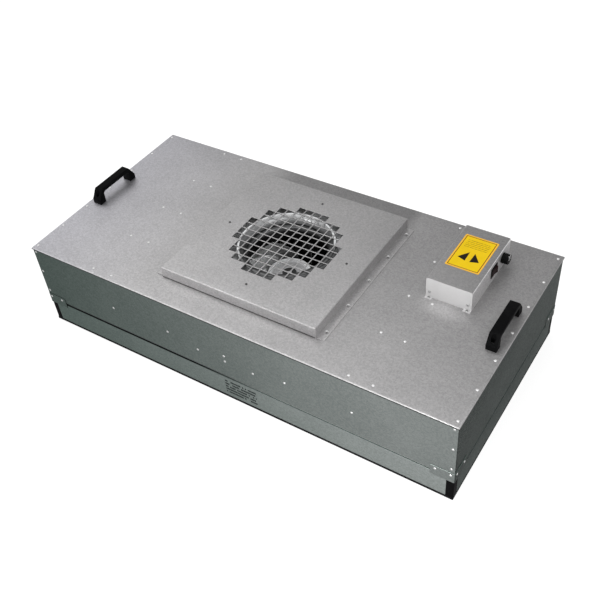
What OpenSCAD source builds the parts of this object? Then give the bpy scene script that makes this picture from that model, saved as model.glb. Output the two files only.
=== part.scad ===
// Fan filter unit: a sheet metal casing with a fan, seated on a panel filter.
// Origin: middle of the lower gasket's underside. +X points to the control box end,
// -Y is the front and +Z is up.

/* [Unit] */
// Length of the unit, along X
unit_l = 1175; // [1120:5:1300]
// Width of the unit, along Y
unit_w = 575; // [560:5:650]
// Height of the sheet casing
casing_h = 174.5; // [172:0.5:210]
// Thickness of the casing's sheet
sheet_t = 1.2; // [0.8:0.1:1.6]
// Width of the casing's folded flanges
flange_w = 20; // [19:1:24]
// Height of the lip folded down round the top panel
lid_lip_h = 5; // [3:0.5:8]
// Radius of the opening in the top panel
lid_open_r = 176; // [170:1:186]

/* [Filter] */
// Height of the filter frame
filter_h = 68; // [60:1:100]
// How far the filter frame lies inside the unit's outline
filter_inset = 2.5; // [2.5:0.5:4]
// Width of a rail's folded flanges
rail_flange = 15; // [12:1:18]
// Thickness of the rail's sheet
rail_t = 1.5; // [1:0.1:2]
// Side of a corner post
post_w = 18; // [16:1:22]
// Distance between two pleats
pleat_pitch = 8; // [7:0.5:12]
// Height of the lower gasket
gasket_h = 6; // [4:0.5:8]
// Width of the lower gasket
gasket_w = 14; // [10:1:18]
// Height of the gasket between filter and casing
seam_h = 3.5; // [2:0.5:4]
// How far that gasket lies inside the casing's faces
seam_inset = 5; // [3.5:0.5:6]

/* [Inlet cover] */
// Side of the square inlet cover
cover_w = 430; // [410:2:450]
// Height of the inlet cover
cover_h = 30; // [26:1:40]
// Width of the cover's two flanges
cover_flange = 20; // [18:1:24]
// Bolts along each flange
cover_bolts_n = 5; // [3:1:7]
// Distance between two flange bolts
cover_bolt_pitch = 94; // [60:1:96]
// Side of a square hole in the grille
grid_hole = 19.5; // [12:0.5:20]
// Distance between two holes of the grille
grid_pitch = 22; // [21:0.5:23]
// Radius in which the holes' centres lie
grid_r = 130; // [100:1:134]
// Radius of the circle of ring screws
ring_screw_r = 168; // [164:1:172]

/* [Fan] */
// Radius of the inlet ring's throat
throat_r = 100; // [90:1:104]
// Radius of the bell mouth's curve
bell_r = 17; // [12:1:20]
// Outer radius of the impeller
impeller_r = 155; // [145:1:158]
// Number of blades
blades_n = 7; // [5:1:9]
// Thickness of a blade
blade_t = 1.5; // [1:0.1:2.5]
// Height of the blades at the impeller's rim
blade_rim_h = 58; // [50:1:64]
// Outer radius of the motor's rotor can
rotor_r = 54; // [50:1:58]
// Height of the rotor can
rotor_h = 70; // [66:1:72]
// Depth of the rotor's top below the top panel
rotor_drop = 67; // [60:1:68]
// Radius of the motor shaft
shaft_r = 6; // [5:0.5:7]

/* [Control box] */
// Width of the control box, along X
box_w = 111; // [104:1:120]
// Length of the control box, along Y
box_l = 211; // [200:1:230]
// Height of the control box
box_h = 54; // [50:1:65]
// Distance from the box's middle to the unit's right end
box_end_dx = 169.5; // [158:0.5:182]
// Distance from the box's middle to the unit's back
box_back_dy = 163.5; // [148:0.5:177]
// Width of the label plate
label_w = 82; // [60:1:90]
// Length of the label plate
label_l = 118; // [80:1:125]
// Radius of the speed knob
knob_r = 13; // [12:0.5:15]
// Length of the speed knob
knob_l = 16; // [14:0.5:20]

/* [Handles] */
// Length of a handle over its feet
handle_l = 140; // [130:1:160]
// Width of a handle
handle_w = 25; // [22:0.5:28]
// Height of a handle
handle_h = 40; // [36:1:50]
// Distance from a handle's middle to the end of the unit
handle_inset = 30; // [26:1:34]

/* [Fasteners] */
// Radius of a rivet's head
rivet_head_r = 3.2; // [2.5:0.1:4]
// Radius of a rivet's shank
rivet_r = 1.6; // [1.2:0.1:2]
// Rivets along each end of the top panel
end_rivets_n = 7; // [3:2:9]
// Length of a corner bracket's legs
bracket_l = 58; // [54:1:64]
// Height of a corner bracket
bracket_h = 31; // [28:1:36]

/* [Hidden] */

$fn = 48;
cut = 1;                 // how far a cutting tool runs past a face
fit = 0.05;              // radial gap of a running or slip fit
snug = 0.3;              // gap between parts that slide past each other

// Colours
zinc = [0.66, 0.67, 0.67];
zinc_dark = [0.45, 0.48, 0.47];
steel = [0.75, 0.75, 0.76];
alloy = [0.80, 0.81, 0.82];
black = [0.08, 0.08, 0.08];
foam = [0.16, 0.16, 0.17];
white = [0.90, 0.90, 0.88];
paper = [0.93, 0.93, 0.90];
yellow = [0.92, 0.78, 0.10];

// Heights
z_frame = gasket_h;
z_seam = z_frame + filter_h;
z_casing = z_seam + seam_h;
z_top = z_casing + casing_h;
z_sheet = z_top - sheet_t;              // underside of the top panel
bend_r = 2.5 * sheet_t;                 // outer radius of a fold

// Casing panels, inside the top panel's lip
lip_gap = 1;                            // shadow gap between the lip and the panels
panel_l = unit_l - 2 * (sheet_t + lip_gap);
panel_w = unit_w - 2 * (sheet_t + lip_gap);
panel_h = casing_h - sheet_t;
relief = 1;                             // corner relief between two flanges
side_l = panel_w - 2 * sheet_t;         // side panels butt against front and back

// Cross channels under the top panel
channel_x = unit_l / 2 - 228.5;
channel_rib_w = 42;
channel_depth = 25;
channel_flange = 16;
channel_l = panel_w - 2 * flange_w - 4;
channel_rivet_dx = (channel_rib_w + channel_flange) / 2;
channel_rivet_y = 131;

// Fan, from the top down
mouth_gap = 2;                          // from the ring's rim to the cover's sheet
z_mouth = z_top + cover_h - sheet_t - mouth_gap;
rim_fold_r = 5;                         // outer radius of the rim's turned-over edge
ring_foot_r = 3;                        // inner radius of the fold above the flange
ring_lap = 12;                          // how far the flange laps over the top panel
ring_flange_r = lid_open_r + ring_lap;
ring_post_r = 4.5;
ring_spigot_r = 3;
ring_screw_l = 9;
throat_depth = 42;                      // from the top panel to the throat's end
throat_end = z_top - throat_depth;
eye_gap = 5;                            // radial gap from ring to shroud
eye_r = throat_r + sheet_t + eye_gap;
eye_lip = 8;
eye_top = throat_end + eye_lip;
impeller_t = 1.5;
z_rotor_top = z_top - rotor_drop;
z_rotor_end = z_rotor_top - rotor_h;
rotor_flange_t = 3;
rotor_flange_r = rotor_r + 14;
rotor_wall = 3.5;
back_t = 2;
z_back = z_rotor_end + rotor_flange_t;  // underside of the back plate
z_blade = z_back + back_t;
shroud_rim_z = z_blade + blade_rim_h;
impeller_screw_r = rotor_r + 8;

// Motor, inside the rotor
motor_gap = 5;                          // from the rotor's end to the motor flange
motor_flange_t = 6;
motor_flange_r = rotor_r - 3;
z_support = z_rotor_end - motor_gap - motor_flange_t;
bearing_r = 2.6 * shaft_r;
bearing_h = 10;
tube_r = bearing_r + 4;
hub_r = shaft_r + 6;
rotor_top_t = 5;
hub_h = 8;                              // rotor hub, inside the can
tube_top = z_rotor_top - rotor_top_t - hub_h - 2;
stator_r = rotor_r - rotor_wall - 1.5;
stator_h = 34;
z_stator = z_support + motor_flange_t + 14;
motor_screw_r = 38;

// Motor support and baffles, riveted to the front and back panels
support_t = 2;
support_w = 190;
support_lip = 20;
support_flange_h = 58;
support_l = panel_w - 2 * sheet_t;
baffle_x = channel_x - 104.5;            // middle of a baffle
baffle_w = 192;
baffle_drop = 114;                      // from the top panel to a baffle's middle plane
baffle_z = z_top - baffle_drop;
baffle_flange_h = 24;
baffle_lip = 12;
baffle_clear = 20;                      // from the impeller to the baffle's curved edge
foam_t = 18;
foam_margin = 12;

// Rivets
rivet_h = 1.3;
rivet_edge = 10.5;                      // from a panel's edge to its row of rivets
lid_edge_y = 15.5;
corner_rivet_drops = [12, 77, 144];
baffle_rivet_dx = 86.5;
baffle_rivet_drop = 102;
support_rivet_dx = 79.5;
support_rivet_drops = [101, 119];

// Filter
frame_l = unit_l - 2 * filter_inset;
frame_w = unit_w - 2 * filter_inset;
guard_t = 1;
guard_pitch = 120;                      // long way of a diamond
guard_strand = 5;
z_guard = z_frame + rail_t;
z_media = z_guard + guard_t;
media_l = frame_l - 2 * post_w - 1;
media_w = frame_w - 2 * post_w - 1;
media_h = filter_h - 2 * rail_t - guard_t - 3;
media_depth = 11;                       // height of the media's own sheet, pleat by pleat
post_tongue = 8;
post_tongue_t = 2.5;
seal_gap = rail_t + post_tongue_t + 2 * fit;
seam_strip = rail_flange + filter_inset - seam_inset;

// Corner brackets
bracket_drop = 156;                     // from the top panel to the bracket's top
bracket_top = z_top - bracket_drop;
bracket_row = 9;                        // from the bracket's top to its rivets
bracket_near = 10;
bracket_far = bracket_l - 12;

// Control box
box_x = unit_l / 2 - box_end_dx;
box_y = unit_w / 2 - box_back_dy;
box_t = 1.2;
tab_w = 18;
tab_l = 8;
box_screw_x = box_w / 2 - 9;
box_screw_z = 16;
box_face_x = box_x + box_w / 2;
side_part_z = z_top + 29;               // middle of the switch and the knob
switch_y = box_y + 11.5;
knob_y = box_y + 62;
label_t = 0.4;
label_y = box_y + 15;

// Power inlet in the back end plate: a keyed socket with three pins
inlet_x = box_x - 18;
inlet_flange_l = 31;
inlet_flange_h = 25;
inlet_flange_t = 2.5;
inlet_body_l = 27.5;
inlet_body_h = 20;
inlet_depth = 20;
socket_l = 24;
socket_h = 16.5;
socket_depth = 16;
socket_bevel = 4;
pin_l = 4;
pin_t = 2;
pin_out = 13;
pin_dx = 7;
pin_dz = 2;

// Rocker switch: u runs along Y and v out of the box
bezel_l = 31;
bezel_w = 26;
bezel_t = 2;
switch_body_l = 27.4;
switch_body_w = 22;
switch_depth = 20;
rocker_r = 11.8;
rocker_w = 17.4;
rocker_tilt = 10;
rocker_pivot = -1;
rocker_low = -7;
rocker_high = 5.2;
rocker_mid = 3.4;
trunnion_r = 1.5;
trunnion_l = 1;

// Speed control
knob_shaft_r = 3;
bushing_r = 5;
bushing_out = 4.5;
pot_r = 12;
pot_h = 16;
nut_r = 8;
nut_h = 2.5;
knob_clear = 0.8;
flutes_n = 18;
flute_r = 1.3;

// Handles
handle_x = unit_l / 2 - handle_inset;
bar_t = 9.5;
foot_l = 20;
foot_h = 12;
grip_half = handle_l / 2 - 17;          // half length of the flat grip
pocket_r = 5.6;
pocket_floor = 7;
screw_y = handle_l / 2 - 10;
screw_r = 2.5;
screw_head_r = 4.4;
screw_head_h = 5;

// ---------- shared forms ----------

// Points of an arc, from angle a0 to a1 in n steps
function arc(c, r, a0, a1, n) =
    [for (i = [0:n]) c + r * [cos(a0 + (a1 - a0) * i / n), sin(a0 + (a1 - a0) * i / n)]];

// A rectangle w by h on the X axis, its upper corners rounded
module arch(w, h, r) {
    translate([-w / 2, 0]) square([w, h - r]);
    translate([-w / 2 + r, 0]) square([w - 2 * r, h]);
    for (s = [-1, 1]) translate([s * (w / 2 - r), h - r]) circle(r);
}

// A slab on the XY plane with its four upper edges rounded
module soft_slab(l, w, h, r) {
    intersection() {
        rotate([90, 0, 0]) linear_extrude(w, center = true) arch(l, h, r);
        rotate([90, 0, 90]) linear_extrude(l, center = true) arch(w, h, r);
    }
}

// A sheet folded down on four sides, open below
module tray(l, w, h, t, r) {
    difference() {
        soft_slab(l, w, h, r);
        translate([0, 0, -cut]) soft_slab(l - 2 * t, w - 2 * t, h - t + cut, r - t);
    }
}

// A rectangle f by h from the origin, its two corners on the Y axis rounded
module round_back(f, h, r) {
    translate([r, 0]) square([f - r, h]);
    translate([0, r]) square([f, h - 2 * r]);
    for (y = [r, h - r]) translate([r, y]) circle(r);
}

// Section of a sheet folded into a C: web on the Y axis, flanges f long
module c_section(f, h, t, r) {
    difference() {
        round_back(f, h, r);
        translate([t, t]) round_back(f + cut, h - 2 * t, r - t);
    }
}

// A rectangle with four rounded corners, centred
module round_rect(l, w, r) {
    square([l - 2 * r, w], center = true);
    square([l, w - 2 * r], center = true);
    for (x = [-1, 1], y = [-1, 1]) translate([x * (l / 2 - r), y * (w / 2 - r)]) circle(r);
}

// A pop rivet on the XY plane, its shank d deep
module rivet(d) {
    rotate_extrude($fn = 24)
        polygon([
            [0, -d], [rivet_r, -d], [rivet_r, 0], [rivet_head_r, 0], [rivet_head_r, 0.35 * rivet_h],
            [0.7 * rivet_head_r, 0.85 * rivet_h], [0.35 * rivet_head_r, rivet_h], [0, rivet_h]
        ]);
}

// The hole for a rivet's shank, through a sheet at the XY plane
module rivet_hole(d = 5) {
    translate([0, 0, -d]) cylinder(h = 2 * d, r = rivet_r + fit, $fn = 24);
}

// A pan head screw on the XY plane: head radius, head height, shank radius, depth
module pan_screw(hr, hh, r, d) {
    difference() {
        rotate_extrude($fn = 32)
            polygon([
                [0, -d], [r, -d], [r, 0], [hr, 0], [hr, 0.45 * hh], [0.8 * hr, 0.85 * hh],
                [0.5 * hr, hh], [0, hh]
            ]);
        for (a = [0, 90]) rotate([0, 0, a])
            translate([-0.55 * hr, -0.1 * hr, 0.5 * hh]) cube([1.1 * hr, 0.2 * hr, hh]);
    }
}

// A hexagon head bolt with its washer on the XY plane
module hex_bolt(af, hh, r, d) {
    washer_h = 1;
    translate([0, 0, -d]) cylinder(h = d + washer_h, r = r, $fn = 24);
    cylinder(h = washer_h, r = 0.8 * af);
    translate([0, 0, washer_h]) cylinder(h = hh, r = af / sqrt(3), $fn = 6);
}

// Places its children at the four corners, mirrored about X and Y
module corners() {
    for (x = [0, 1], y = [0, 1]) mirror([x, 0, 0]) mirror([0, y, 0]) children();
}

// ---------- rivet and screw places ----------

// Rows of rivets along the ends of the top panel
module at_end_rivets() {
    x = unit_l / 2 - rivet_edge;
    y = unit_w / 2 - lid_edge_y;
    for (s = [-1, 1], i = [0:end_rivets_n - 1])
        translate([s * x, -y + 2 * y * i / (end_rivets_n - 1), z_top]) children();
}

// Rows of rivets over the cross channels; the control box covers one place
module at_channel_rivets() {
    y_edge = unit_w / 2 - lid_edge_y;
    for (s = [-1, 1], dx = [-1, 1], y = [-y_edge, -channel_rivet_y, 0, channel_rivet_y, y_edge]) {
        x = s * channel_x + dx * channel_rivet_dx;
        under_box = abs(x - box_x) < box_w / 2 + 6 && abs(y - box_y) < box_l / 2 + 12;
        if (!under_box) translate([x, y, z_top]) children();
    }
}

// Rivets on the front panel's face, pointing to -Y
module at_front_rivets() {
    translate([0, -panel_w / 2, z_top]) rotate([90, 0, 0]) {
        for (s = [-1, 1], z = corner_rivet_drops)
            translate([s * (unit_l / 2 - rivet_edge), -z, 0]) children();
        for (s = [-1, 1], d = [-1, 1])
            translate([s * baffle_x + d * baffle_rivet_dx, -baffle_rivet_drop, 0]) children();
        for (x = [-support_rivet_dx, 0, support_rivet_dx])
            translate([x, -support_rivet_drops[1], 0]) children();
        translate([0, -support_rivet_drops[0], 0]) children();
    }
}

// Two places on the front leg of a corner bracket, pointing to -Y, at the +X end
module at_bracket_front() {
    for (d = [bracket_near, bracket_far])
        translate([panel_l / 2 + sheet_t - d, -panel_w / 2 - sheet_t, bracket_top - bracket_row])
            rotate([90, 0, 0]) children();
}

// Two places on the side leg of a corner bracket, pointing to +X
module at_bracket_side() {
    for (d = [bracket_near, bracket_far])
        translate([panel_l / 2 + sheet_t, d - panel_w / 2 - sheet_t, bracket_top - bracket_row])
            rotate([0, 90, 0]) children();
}

// Places of the cover's flange bolts
module at_cover_bolts() {
    for (s = [-1, 1], i = [0:cover_bolts_n - 1])
        translate([s * (cover_w / 2 + 0.55 * cover_flange),
            (i - (cover_bolts_n - 1) / 2) * cover_bolt_pitch, z_top + sheet_t]) children();
}

// Places of the four ring screws, on the cover's top
module at_ring_screws() {
    for (a = [0:90:270]) rotate([0, 0, a]) translate([ring_screw_r, 0, z_top + cover_h]) children();
}

// Places of the handles' screws, at the level of the top panel
module at_handle_screws() {
    for (x = [-1, 1], y = [-1, 1]) translate([x * handle_x, y * screw_y, z_top]) children();
}

// Places of the screws in the box's end plates, pointing away from the box
module at_plate_screws() {
    for (s = [-1, 1], x = [-1, 1])
        translate([box_x + x * box_screw_x, box_y + s * box_l / 2, z_top + box_screw_z])
            rotate([-s * 90, 0, 0]) children();
}

// Places of the screws in the box's foot tabs
module at_tab_screws() {
    for (s = [-1, 1], x = [-1, 1])
        translate([box_x + x * box_screw_x, box_y + s * (box_l / 2 + tab_l / 2), z_top + box_t])
            children();
}

// ---------- casing ----------

module top_panel() {
    color(zinc) difference() {
        translate([0, 0, z_top - lid_lip_h]) tray(unit_l, unit_w, lid_lip_h, sheet_t, bend_r);
        translate([0, 0, z_sheet - cut]) cylinder(h = sheet_t + 2 * cut, r = lid_open_r, $fn = 128);
        at_end_rivets() rivet_hole();
        at_channel_rivets() rivet_hole();
        at_cover_bolts() rivet_hole();
        at_tab_screws() rivet_hole();
        at_handle_screws() translate([0, 0, -cut - sheet_t])
            cylinder(h = sheet_t + 2 * cut, r = screw_r + fit);
    }
}

// Front panel: a C of sheet, its flanges cut back at both ends
module long_panel() {
    difference() {
        translate([-panel_l / 2, -panel_w / 2, z_casing]) rotate([90, 0, 90])
            linear_extrude(panel_l) c_section(flange_w, panel_h, sheet_t, bend_r);
        for (s = [-1, 1]) translate([s * panel_l / 2, -panel_w / 2 + sheet_t + flange_w, z_casing + panel_h / 2])
            cube([2 * (sheet_t + relief), 2 * flange_w, panel_h + 2 * cut], center = true);
        at_front_rivets() rivet_hole();
        at_end_rivets() rivet_hole();
        at_channel_rivets() rivet_hole();
        corners_x() at_bracket_front() rivet_hole();
    }
}

// Both ends, mirrored about X
module corners_x() {
    for (x = [0, 1]) mirror([x, 0, 0]) children();
}

module front_panel() {
    color(zinc_dark) long_panel();
}

module back_panel() {
    color(zinc_dark) mirror([0, 1, 0]) long_panel();
}

// End panel at +X: flanges on all four sides, with reliefs at the corners
module end_panel() {
    difference() {
        union() {
            translate([panel_l / 2, side_l / 2 - flange_w - relief, z_casing])
                rotate([90, 0, 0]) linear_extrude(side_l - 2 * flange_w - 2 * relief)
                    mirror([1, 0]) c_section(flange_w, panel_h, sheet_t, bend_r);
            translate([panel_l / 2, -side_l / 2, z_casing + sheet_t + relief])
                linear_extrude(panel_h - 2 * sheet_t - 2 * relief)
                    mirror([1, 0]) c_section(flange_w, side_l, sheet_t, bend_r);
        }
        for (y = [0, 1]) mirror([0, y, 0]) {
            at_front_rivets() rivet_hole();
            at_bracket_front() rivet_hole();
            at_bracket_side() rivet_hole();
        }
        at_end_rivets() rivet_hole();
    }
}

module right_panel() {
    color(zinc_dark) end_panel();
}

module left_panel() {
    color(zinc_dark) mirror([1, 0, 0]) end_panel();
}

// All the rivets of the casing, its channels and its corner brackets
module pop_rivets() {
    grip = 2 * sheet_t;
    color(steel) {
        at_end_rivets() rivet(grip);
        at_channel_rivets() rivet(grip);
        for (y = [0, 1]) mirror([0, y, 0]) at_front_rivets() rivet(grip);
        corners() {
            at_bracket_front() rivet(grip);
            at_bracket_side() rivet(grip);
        }
    }
}

// Hat shaped stiffener under the top panel, along Y
module cross_channel() {
    flat_w = channel_rib_w / 2 + channel_flange;
    color(zinc) difference() {
        translate([channel_x, 0, z_sheet]) mirror([0, 0, 1]) rotate([90, 0, 0])
            linear_extrude(channel_l, center = true) {
                difference() {
                    arch(channel_rib_w, channel_depth, bend_r);
                    translate([0, -cut])
                        arch(channel_rib_w - 2 * sheet_t, channel_depth - sheet_t + cut, bend_r - sheet_t);
                }
                for (s = [0, 1]) mirror([s, 0]) translate([channel_rib_w / 2 - sheet_t, 0])
                    square([flat_w - channel_rib_w / 2 + sheet_t, sheet_t]);
            }
        at_channel_rivets() rivet_hole();
        mirror([1, 0, 0]) at_channel_rivets() rivet_hole();
    }
}

module cross_channel_right() {
    cross_channel();
}

module cross_channel_left() {
    mirror([1, 0, 0]) cross_channel();
}

// ---------- inlet ----------

// Centres of the grille's holes, kept inside a circle
grid_half = ceil(grid_r / grid_pitch);
grid_at = [for (i = [-grid_half:grid_half - 1]) (i + 0.5) * grid_pitch];
grid_holes = [for (x = grid_at, y = grid_at) if (norm([x, y]) <= grid_r) [x, y]];

module inlet_cover() {
    color(zinc) difference() {
        union() {
            translate([0, 0, z_top]) tray(cover_w, cover_w, cover_h, sheet_t, bend_r);
            for (s = [0, 1]) mirror([s, 0, 0])
                translate([cover_w / 2 - sheet_t, -cover_w / 2 + bend_r, z_top])
                    cube([cover_flange + sheet_t, cover_w - 2 * bend_r, sheet_t]);
        }
        for (p = grid_holes) translate([p[0], p[1], z_top + cover_h])
            cube([grid_hole, grid_hole, 4 * sheet_t], center = true);
        at_ring_screws() rivet_hole();
        at_cover_bolts() rivet_hole();
    }
}

module cover_bolts() {
    color(steel) at_cover_bolts() hex_bolt(5.5, 2.4, rivet_r, 5);
}

module ring_screws() {
    color(black) at_ring_screws() pan_screw(3, 1.8, rivet_r, ring_screw_l);
}

// Four posts on the ring's flange: each has a spigot in the flange and a bore for a screw
module ring_posts() {
    color(steel) at_ring_screws() translate([0, 0, -cover_h]) difference() {
        union() {
            translate([0, 0, sheet_t]) cylinder(h = cover_h - 2 * sheet_t, r = ring_post_r);
            cylinder(h = 2 * sheet_t, r = ring_spigot_r);
        }
        translate([0, 0, cover_h - ring_screw_l - cut]) cylinder(h = ring_screw_l + cut, r = rivet_r + fit);
    }
}

// Spun ring: throat, bell mouth, turned-over rim, skirt and a flange on the top panel
module inlet_ring() {
    bell = [throat_r + bell_r, z_mouth - bell_r];
    rim = [bell[0], z_mouth - rim_fold_r];
    foot = [rim[0] + rim_fold_r + ring_foot_r, z_top + sheet_t + ring_foot_r];
    color(alloy) difference() {
        rotate_extrude($fn = 96) polygon(concat(
            [[throat_r, throat_end]],
            arc(bell, bell_r, 180, 90, 12),
            arc(rim, rim_fold_r, 84, 0, 6),
            arc(foot, ring_foot_r, 180, 270, 4),
            [[ring_flange_r, z_top + sheet_t], [ring_flange_r, z_top]],
            arc(foot, ring_foot_r + sheet_t, 270, 180, 4),
            arc(rim, rim_fold_r - sheet_t, 0, 84, 6),
            arc(bell, bell_r - sheet_t, 90, 180, 12),
            [[throat_r + sheet_t, throat_end]]
        ));
        at_ring_screws() translate([0, 0, -cover_h - cut])
            cylinder(h = sheet_t + 2 * cut, r = ring_spigot_r + fit);
    }
}

// ---------- fan ----------

// Shroud's curve from the eye (s = 0) to the rim (s = 1): a quarter of an ellipse
function shroud_at(s) = [
    eye_r + (impeller_r - eye_r) * (1 - cos(90 * s)),
    (eye_top - eye_lip) - (eye_top - eye_lip - shroud_rim_z) * sin(90 * s)
];
shroud_steps = 8;
shroud_line = [for (i = [0:shroud_steps]) shroud_at(i / shroud_steps)];

module impeller_shroud() {
    color(alloy) rotate_extrude($fn = 96) {
        polygon(concat(
            [for (p = shroud_line) p],
            [for (i = [shroud_steps:-1:0]) shroud_line[i] + [impeller_t * (1 - i / shroud_steps), impeller_t * i / shroud_steps]]
        ));
        translate([eye_r, eye_top - eye_lip]) square([impeller_t, eye_lip]);
    }
}

module impeller_back_plate() {
    color(alloy) difference() {
        translate([0, 0, z_back]) cylinder(h = back_t, r = impeller_r, $fn = 96);
        translate([0, 0, z_back - cut]) cylinder(h = back_t + 2 * cut, r = rotor_r + snug, $fn = 96);
        at_impeller_screws() rivet_hole();
    }
}

// Places of the screws that hold the impeller to the rotor's flange
module at_impeller_screws() {
    for (a = [45:90:315]) rotate([0, 0, a]) translate([impeller_screw_r, 0, z_blade]) children();
}

module impeller_screws() {
    color(steel) at_impeller_screws() pan_screw(3, 1.8, rivet_r, back_t + rotor_flange_t);
}

// Backward curved blades: each is an arc that meets the inner circle at one
// angle and the rim at another. Its upper edge lies under the inlet ring and the
// shroud, and its lower inner corner is cut off over the screws
blade_in_r = rotor_r + 4;
blade_foot_r = impeller_screw_r + 8;
blade_foot_h = 15;
blade_edge_z = throat_end - 5;
blade_edge_dr = 14;
blade_edge_dz = 11;
blade_phase = 36;
blade_out_r = impeller_r - 3;
blade_in_angle = 25;
blade_out_angle = 40;
blade_arc_r = (blade_out_r ^ 2 - blade_in_r ^ 2)
    / (2 * (blade_out_r * cos(blade_out_angle) - blade_in_r * cos(blade_in_angle)));
blade_centre = sqrt(blade_arc_r ^ 2 + blade_out_r ^ 2
    - 2 * blade_out_r * blade_arc_r * cos(blade_out_angle));

module blade_plan() {
    intersection() {
        translate([blade_centre, 0]) difference() {
            circle(blade_arc_r, $fn = 180);
            circle(blade_arc_r - blade_t, $fn = 180);
        }
        difference() {
            circle(blade_out_r, $fn = 96);
            circle(blade_in_r, $fn = 96);
        }
        translate([-2 * impeller_r, -4 * impeller_r]) square(4 * impeller_r);
    }
}

// One blade; the turned shape that trims it starts on the far side of the axis
module impeller_blade() {
    lift = 0.2;
    intersection() {
        translate([0, 0, z_blade]) linear_extrude(eye_top - z_blade) blade_plan();
        rotate([0, 0, 90]) rotate_extrude($fn = 96) polygon(concat(
            [[blade_foot_r, z_blade], [impeller_r, z_blade]],
            [for (i = [shroud_steps:-1:0]) shroud_line[i] - [0, lift]],
            [[throat_r, blade_edge_z], [blade_in_r + blade_edge_dr, blade_edge_z]],
            [[blade_in_r, blade_edge_z - blade_edge_dz], [0, blade_edge_z - blade_edge_dz]],
            [[0, z_blade + blade_foot_h], [blade_in_r, z_blade + blade_foot_h]]
        ));
    }
}

module impeller_blades() {
    color(alloy) for (i = [0:blades_n - 1])
        rotate([0, 0, blade_phase + i * 360 / blades_n]) impeller_blade();
}

// Rotor can: closed at the top, with a hub inside and a flange at the open end
module rotor_can() {
    rim_w = 10;
    recess = 2;
    color(steel) translate([0, 0, z_rotor_end]) difference() {
        union() {
            cylinder(h = rotor_h, r = rotor_r, $fn = 96);
            cylinder(h = rotor_flange_t, r = rotor_flange_r, $fn = 96);
        }
        difference() {
            translate([0, 0, -cut])
                cylinder(h = rotor_h - rotor_top_t + cut, r = rotor_r - rotor_wall, $fn = 96);
            translate([0, 0, rotor_h - rotor_top_t - hub_h]) cylinder(h = hub_h + cut, r = hub_r);
        }
        translate([0, 0, rotor_h - recess]) difference() {
            cylinder(h = 2 * recess, r = rotor_r - rim_w, $fn = 96);
            translate([0, 0, -cut]) cylinder(h = 2 * recess + 2 * cut, r = hub_r + 6);
        }
        cylinder(h = rotor_h + cut, r = shaft_r);
        translate([0, 0, -z_rotor_end]) at_impeller_screws() rivet_hole(8);
    }
}

module motor_shaft() {
    shaft_low = z_support + 3;
    color(steel) translate([0, 0, shaft_low])
        cylinder(h = z_rotor_top - 1 - shaft_low, r = shaft_r);
}

// Flange of the stator with the tube that holds the bearings
module motor_flange() {
    color(alloy) difference() {
        union() {
            translate([0, 0, z_support]) cylinder(h = motor_flange_t, r = motor_flange_r, $fn = 96);
            translate([0, 0, z_support]) cylinder(h = tube_top - z_support, r = tube_r);
        }
        translate([0, 0, z_support + 2]) cylinder(h = tube_top, r = bearing_r);
        at_motor_screws() translate([0, 0, -2 * motor_flange_t])
            cylinder(h = 4 * motor_flange_t, r = 2 + fit, $fn = 24);
    }
}

// Places of the screws between motor flange and support
module at_motor_screws() {
    for (a = [45:90:315]) rotate([0, 0, a])
        translate([motor_screw_r, 0, z_support + motor_flange_t]) children();
}

module motor_screws() {
    color(steel) at_motor_screws() pan_screw(3.6, 2.2, 2, motor_flange_t + support_t + 2);
}

// Laminated core with its windings, on the tube
module stator_core() {
    winding_r = stator_r - 6;
    winding_h = 8;
    color([0.55, 0.32, 0.18]) difference() {
        union() {
            translate([0, 0, z_stator]) cylinder(h = stator_h, r = stator_r, $fn = 96);
            translate([0, 0, z_stator - winding_h])
                cylinder(h = stator_h + 2 * winding_h, r = winding_r, $fn = 96);
        }
        translate([0, 0, z_stator - 2 * winding_h])
            cylinder(h = stator_h + 4 * winding_h, r = tube_r + fit);
    }
}

// Two ball bearings in the tube, one at each end
module motor_bearings() {
    color(steel) for (z = [z_support + 6, tube_top - bearing_h - 1])
        translate([0, 0, z]) difference() {
            cylinder(h = bearing_h, r = bearing_r);
            translate([0, 0, -cut]) cylinder(h = bearing_h + 2 * cut, r = shaft_r + fit);
        }
}

// ---------- supports inside ----------

// Folded bridge under the motor, from the front panel to the back panel
module motor_support() {
    color(zinc) difference() {
        union() {
            translate([0, 0, z_support - support_lip]) intersection() {
                tray(support_w, 2 * support_l, support_lip, support_t, 2 * support_t);
                translate([0, 0, support_lip / 2]) cube([support_w, support_l, support_lip], center = true);
            }
            for (s = [-1, 1]) translate([0, s * (support_l - support_t) / 2,
                z_support - support_t + support_flange_h / 2])
                cube([support_w, support_t, support_flange_h], center = true);
        }
        at_motor_screws() translate([0, 0, -3 * motor_flange_t])
            cylinder(h = 4 * motor_flange_t, r = 2 + fit, $fn = 24);
        for (y = [0, 1]) mirror([0, y, 0]) at_front_rivets() rivet_hole();
        for (s = [-1, 1]) translate([0, s * support_l / 3, z_support - 2 * support_t])
            linear_extrude(4 * support_t) round_rect(support_w * 0.6, support_l * 0.16, 12);
    }
}

// Flow baffle at +X: a shelf with upright ends and a curved edge round the impeller
module baffle() {
    color(zinc) difference() {
        union() {
            translate([baffle_x, 0, baffle_z]) cube([baffle_w, support_l, sheet_t], center = true);
            for (s = [-1, 1]) translate([baffle_x, s * (support_l - sheet_t) / 2,
                baffle_z - sheet_t / 2 + baffle_flange_h / 2])
                cube([baffle_w, sheet_t, baffle_flange_h], center = true);
            translate([baffle_x + (baffle_w - sheet_t) / 2, 0, baffle_z + (sheet_t - baffle_lip) / 2])
                cube([sheet_t, support_l, baffle_lip], center = true);
        }
        translate([0, 0, baffle_z - 20]) cylinder(h = 40, r = impeller_r + baffle_clear, $fn = 96);
        for (y = [0, 1]) mirror([0, y, 0]) at_front_rivets() rivet_hole();
    }
}

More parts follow.
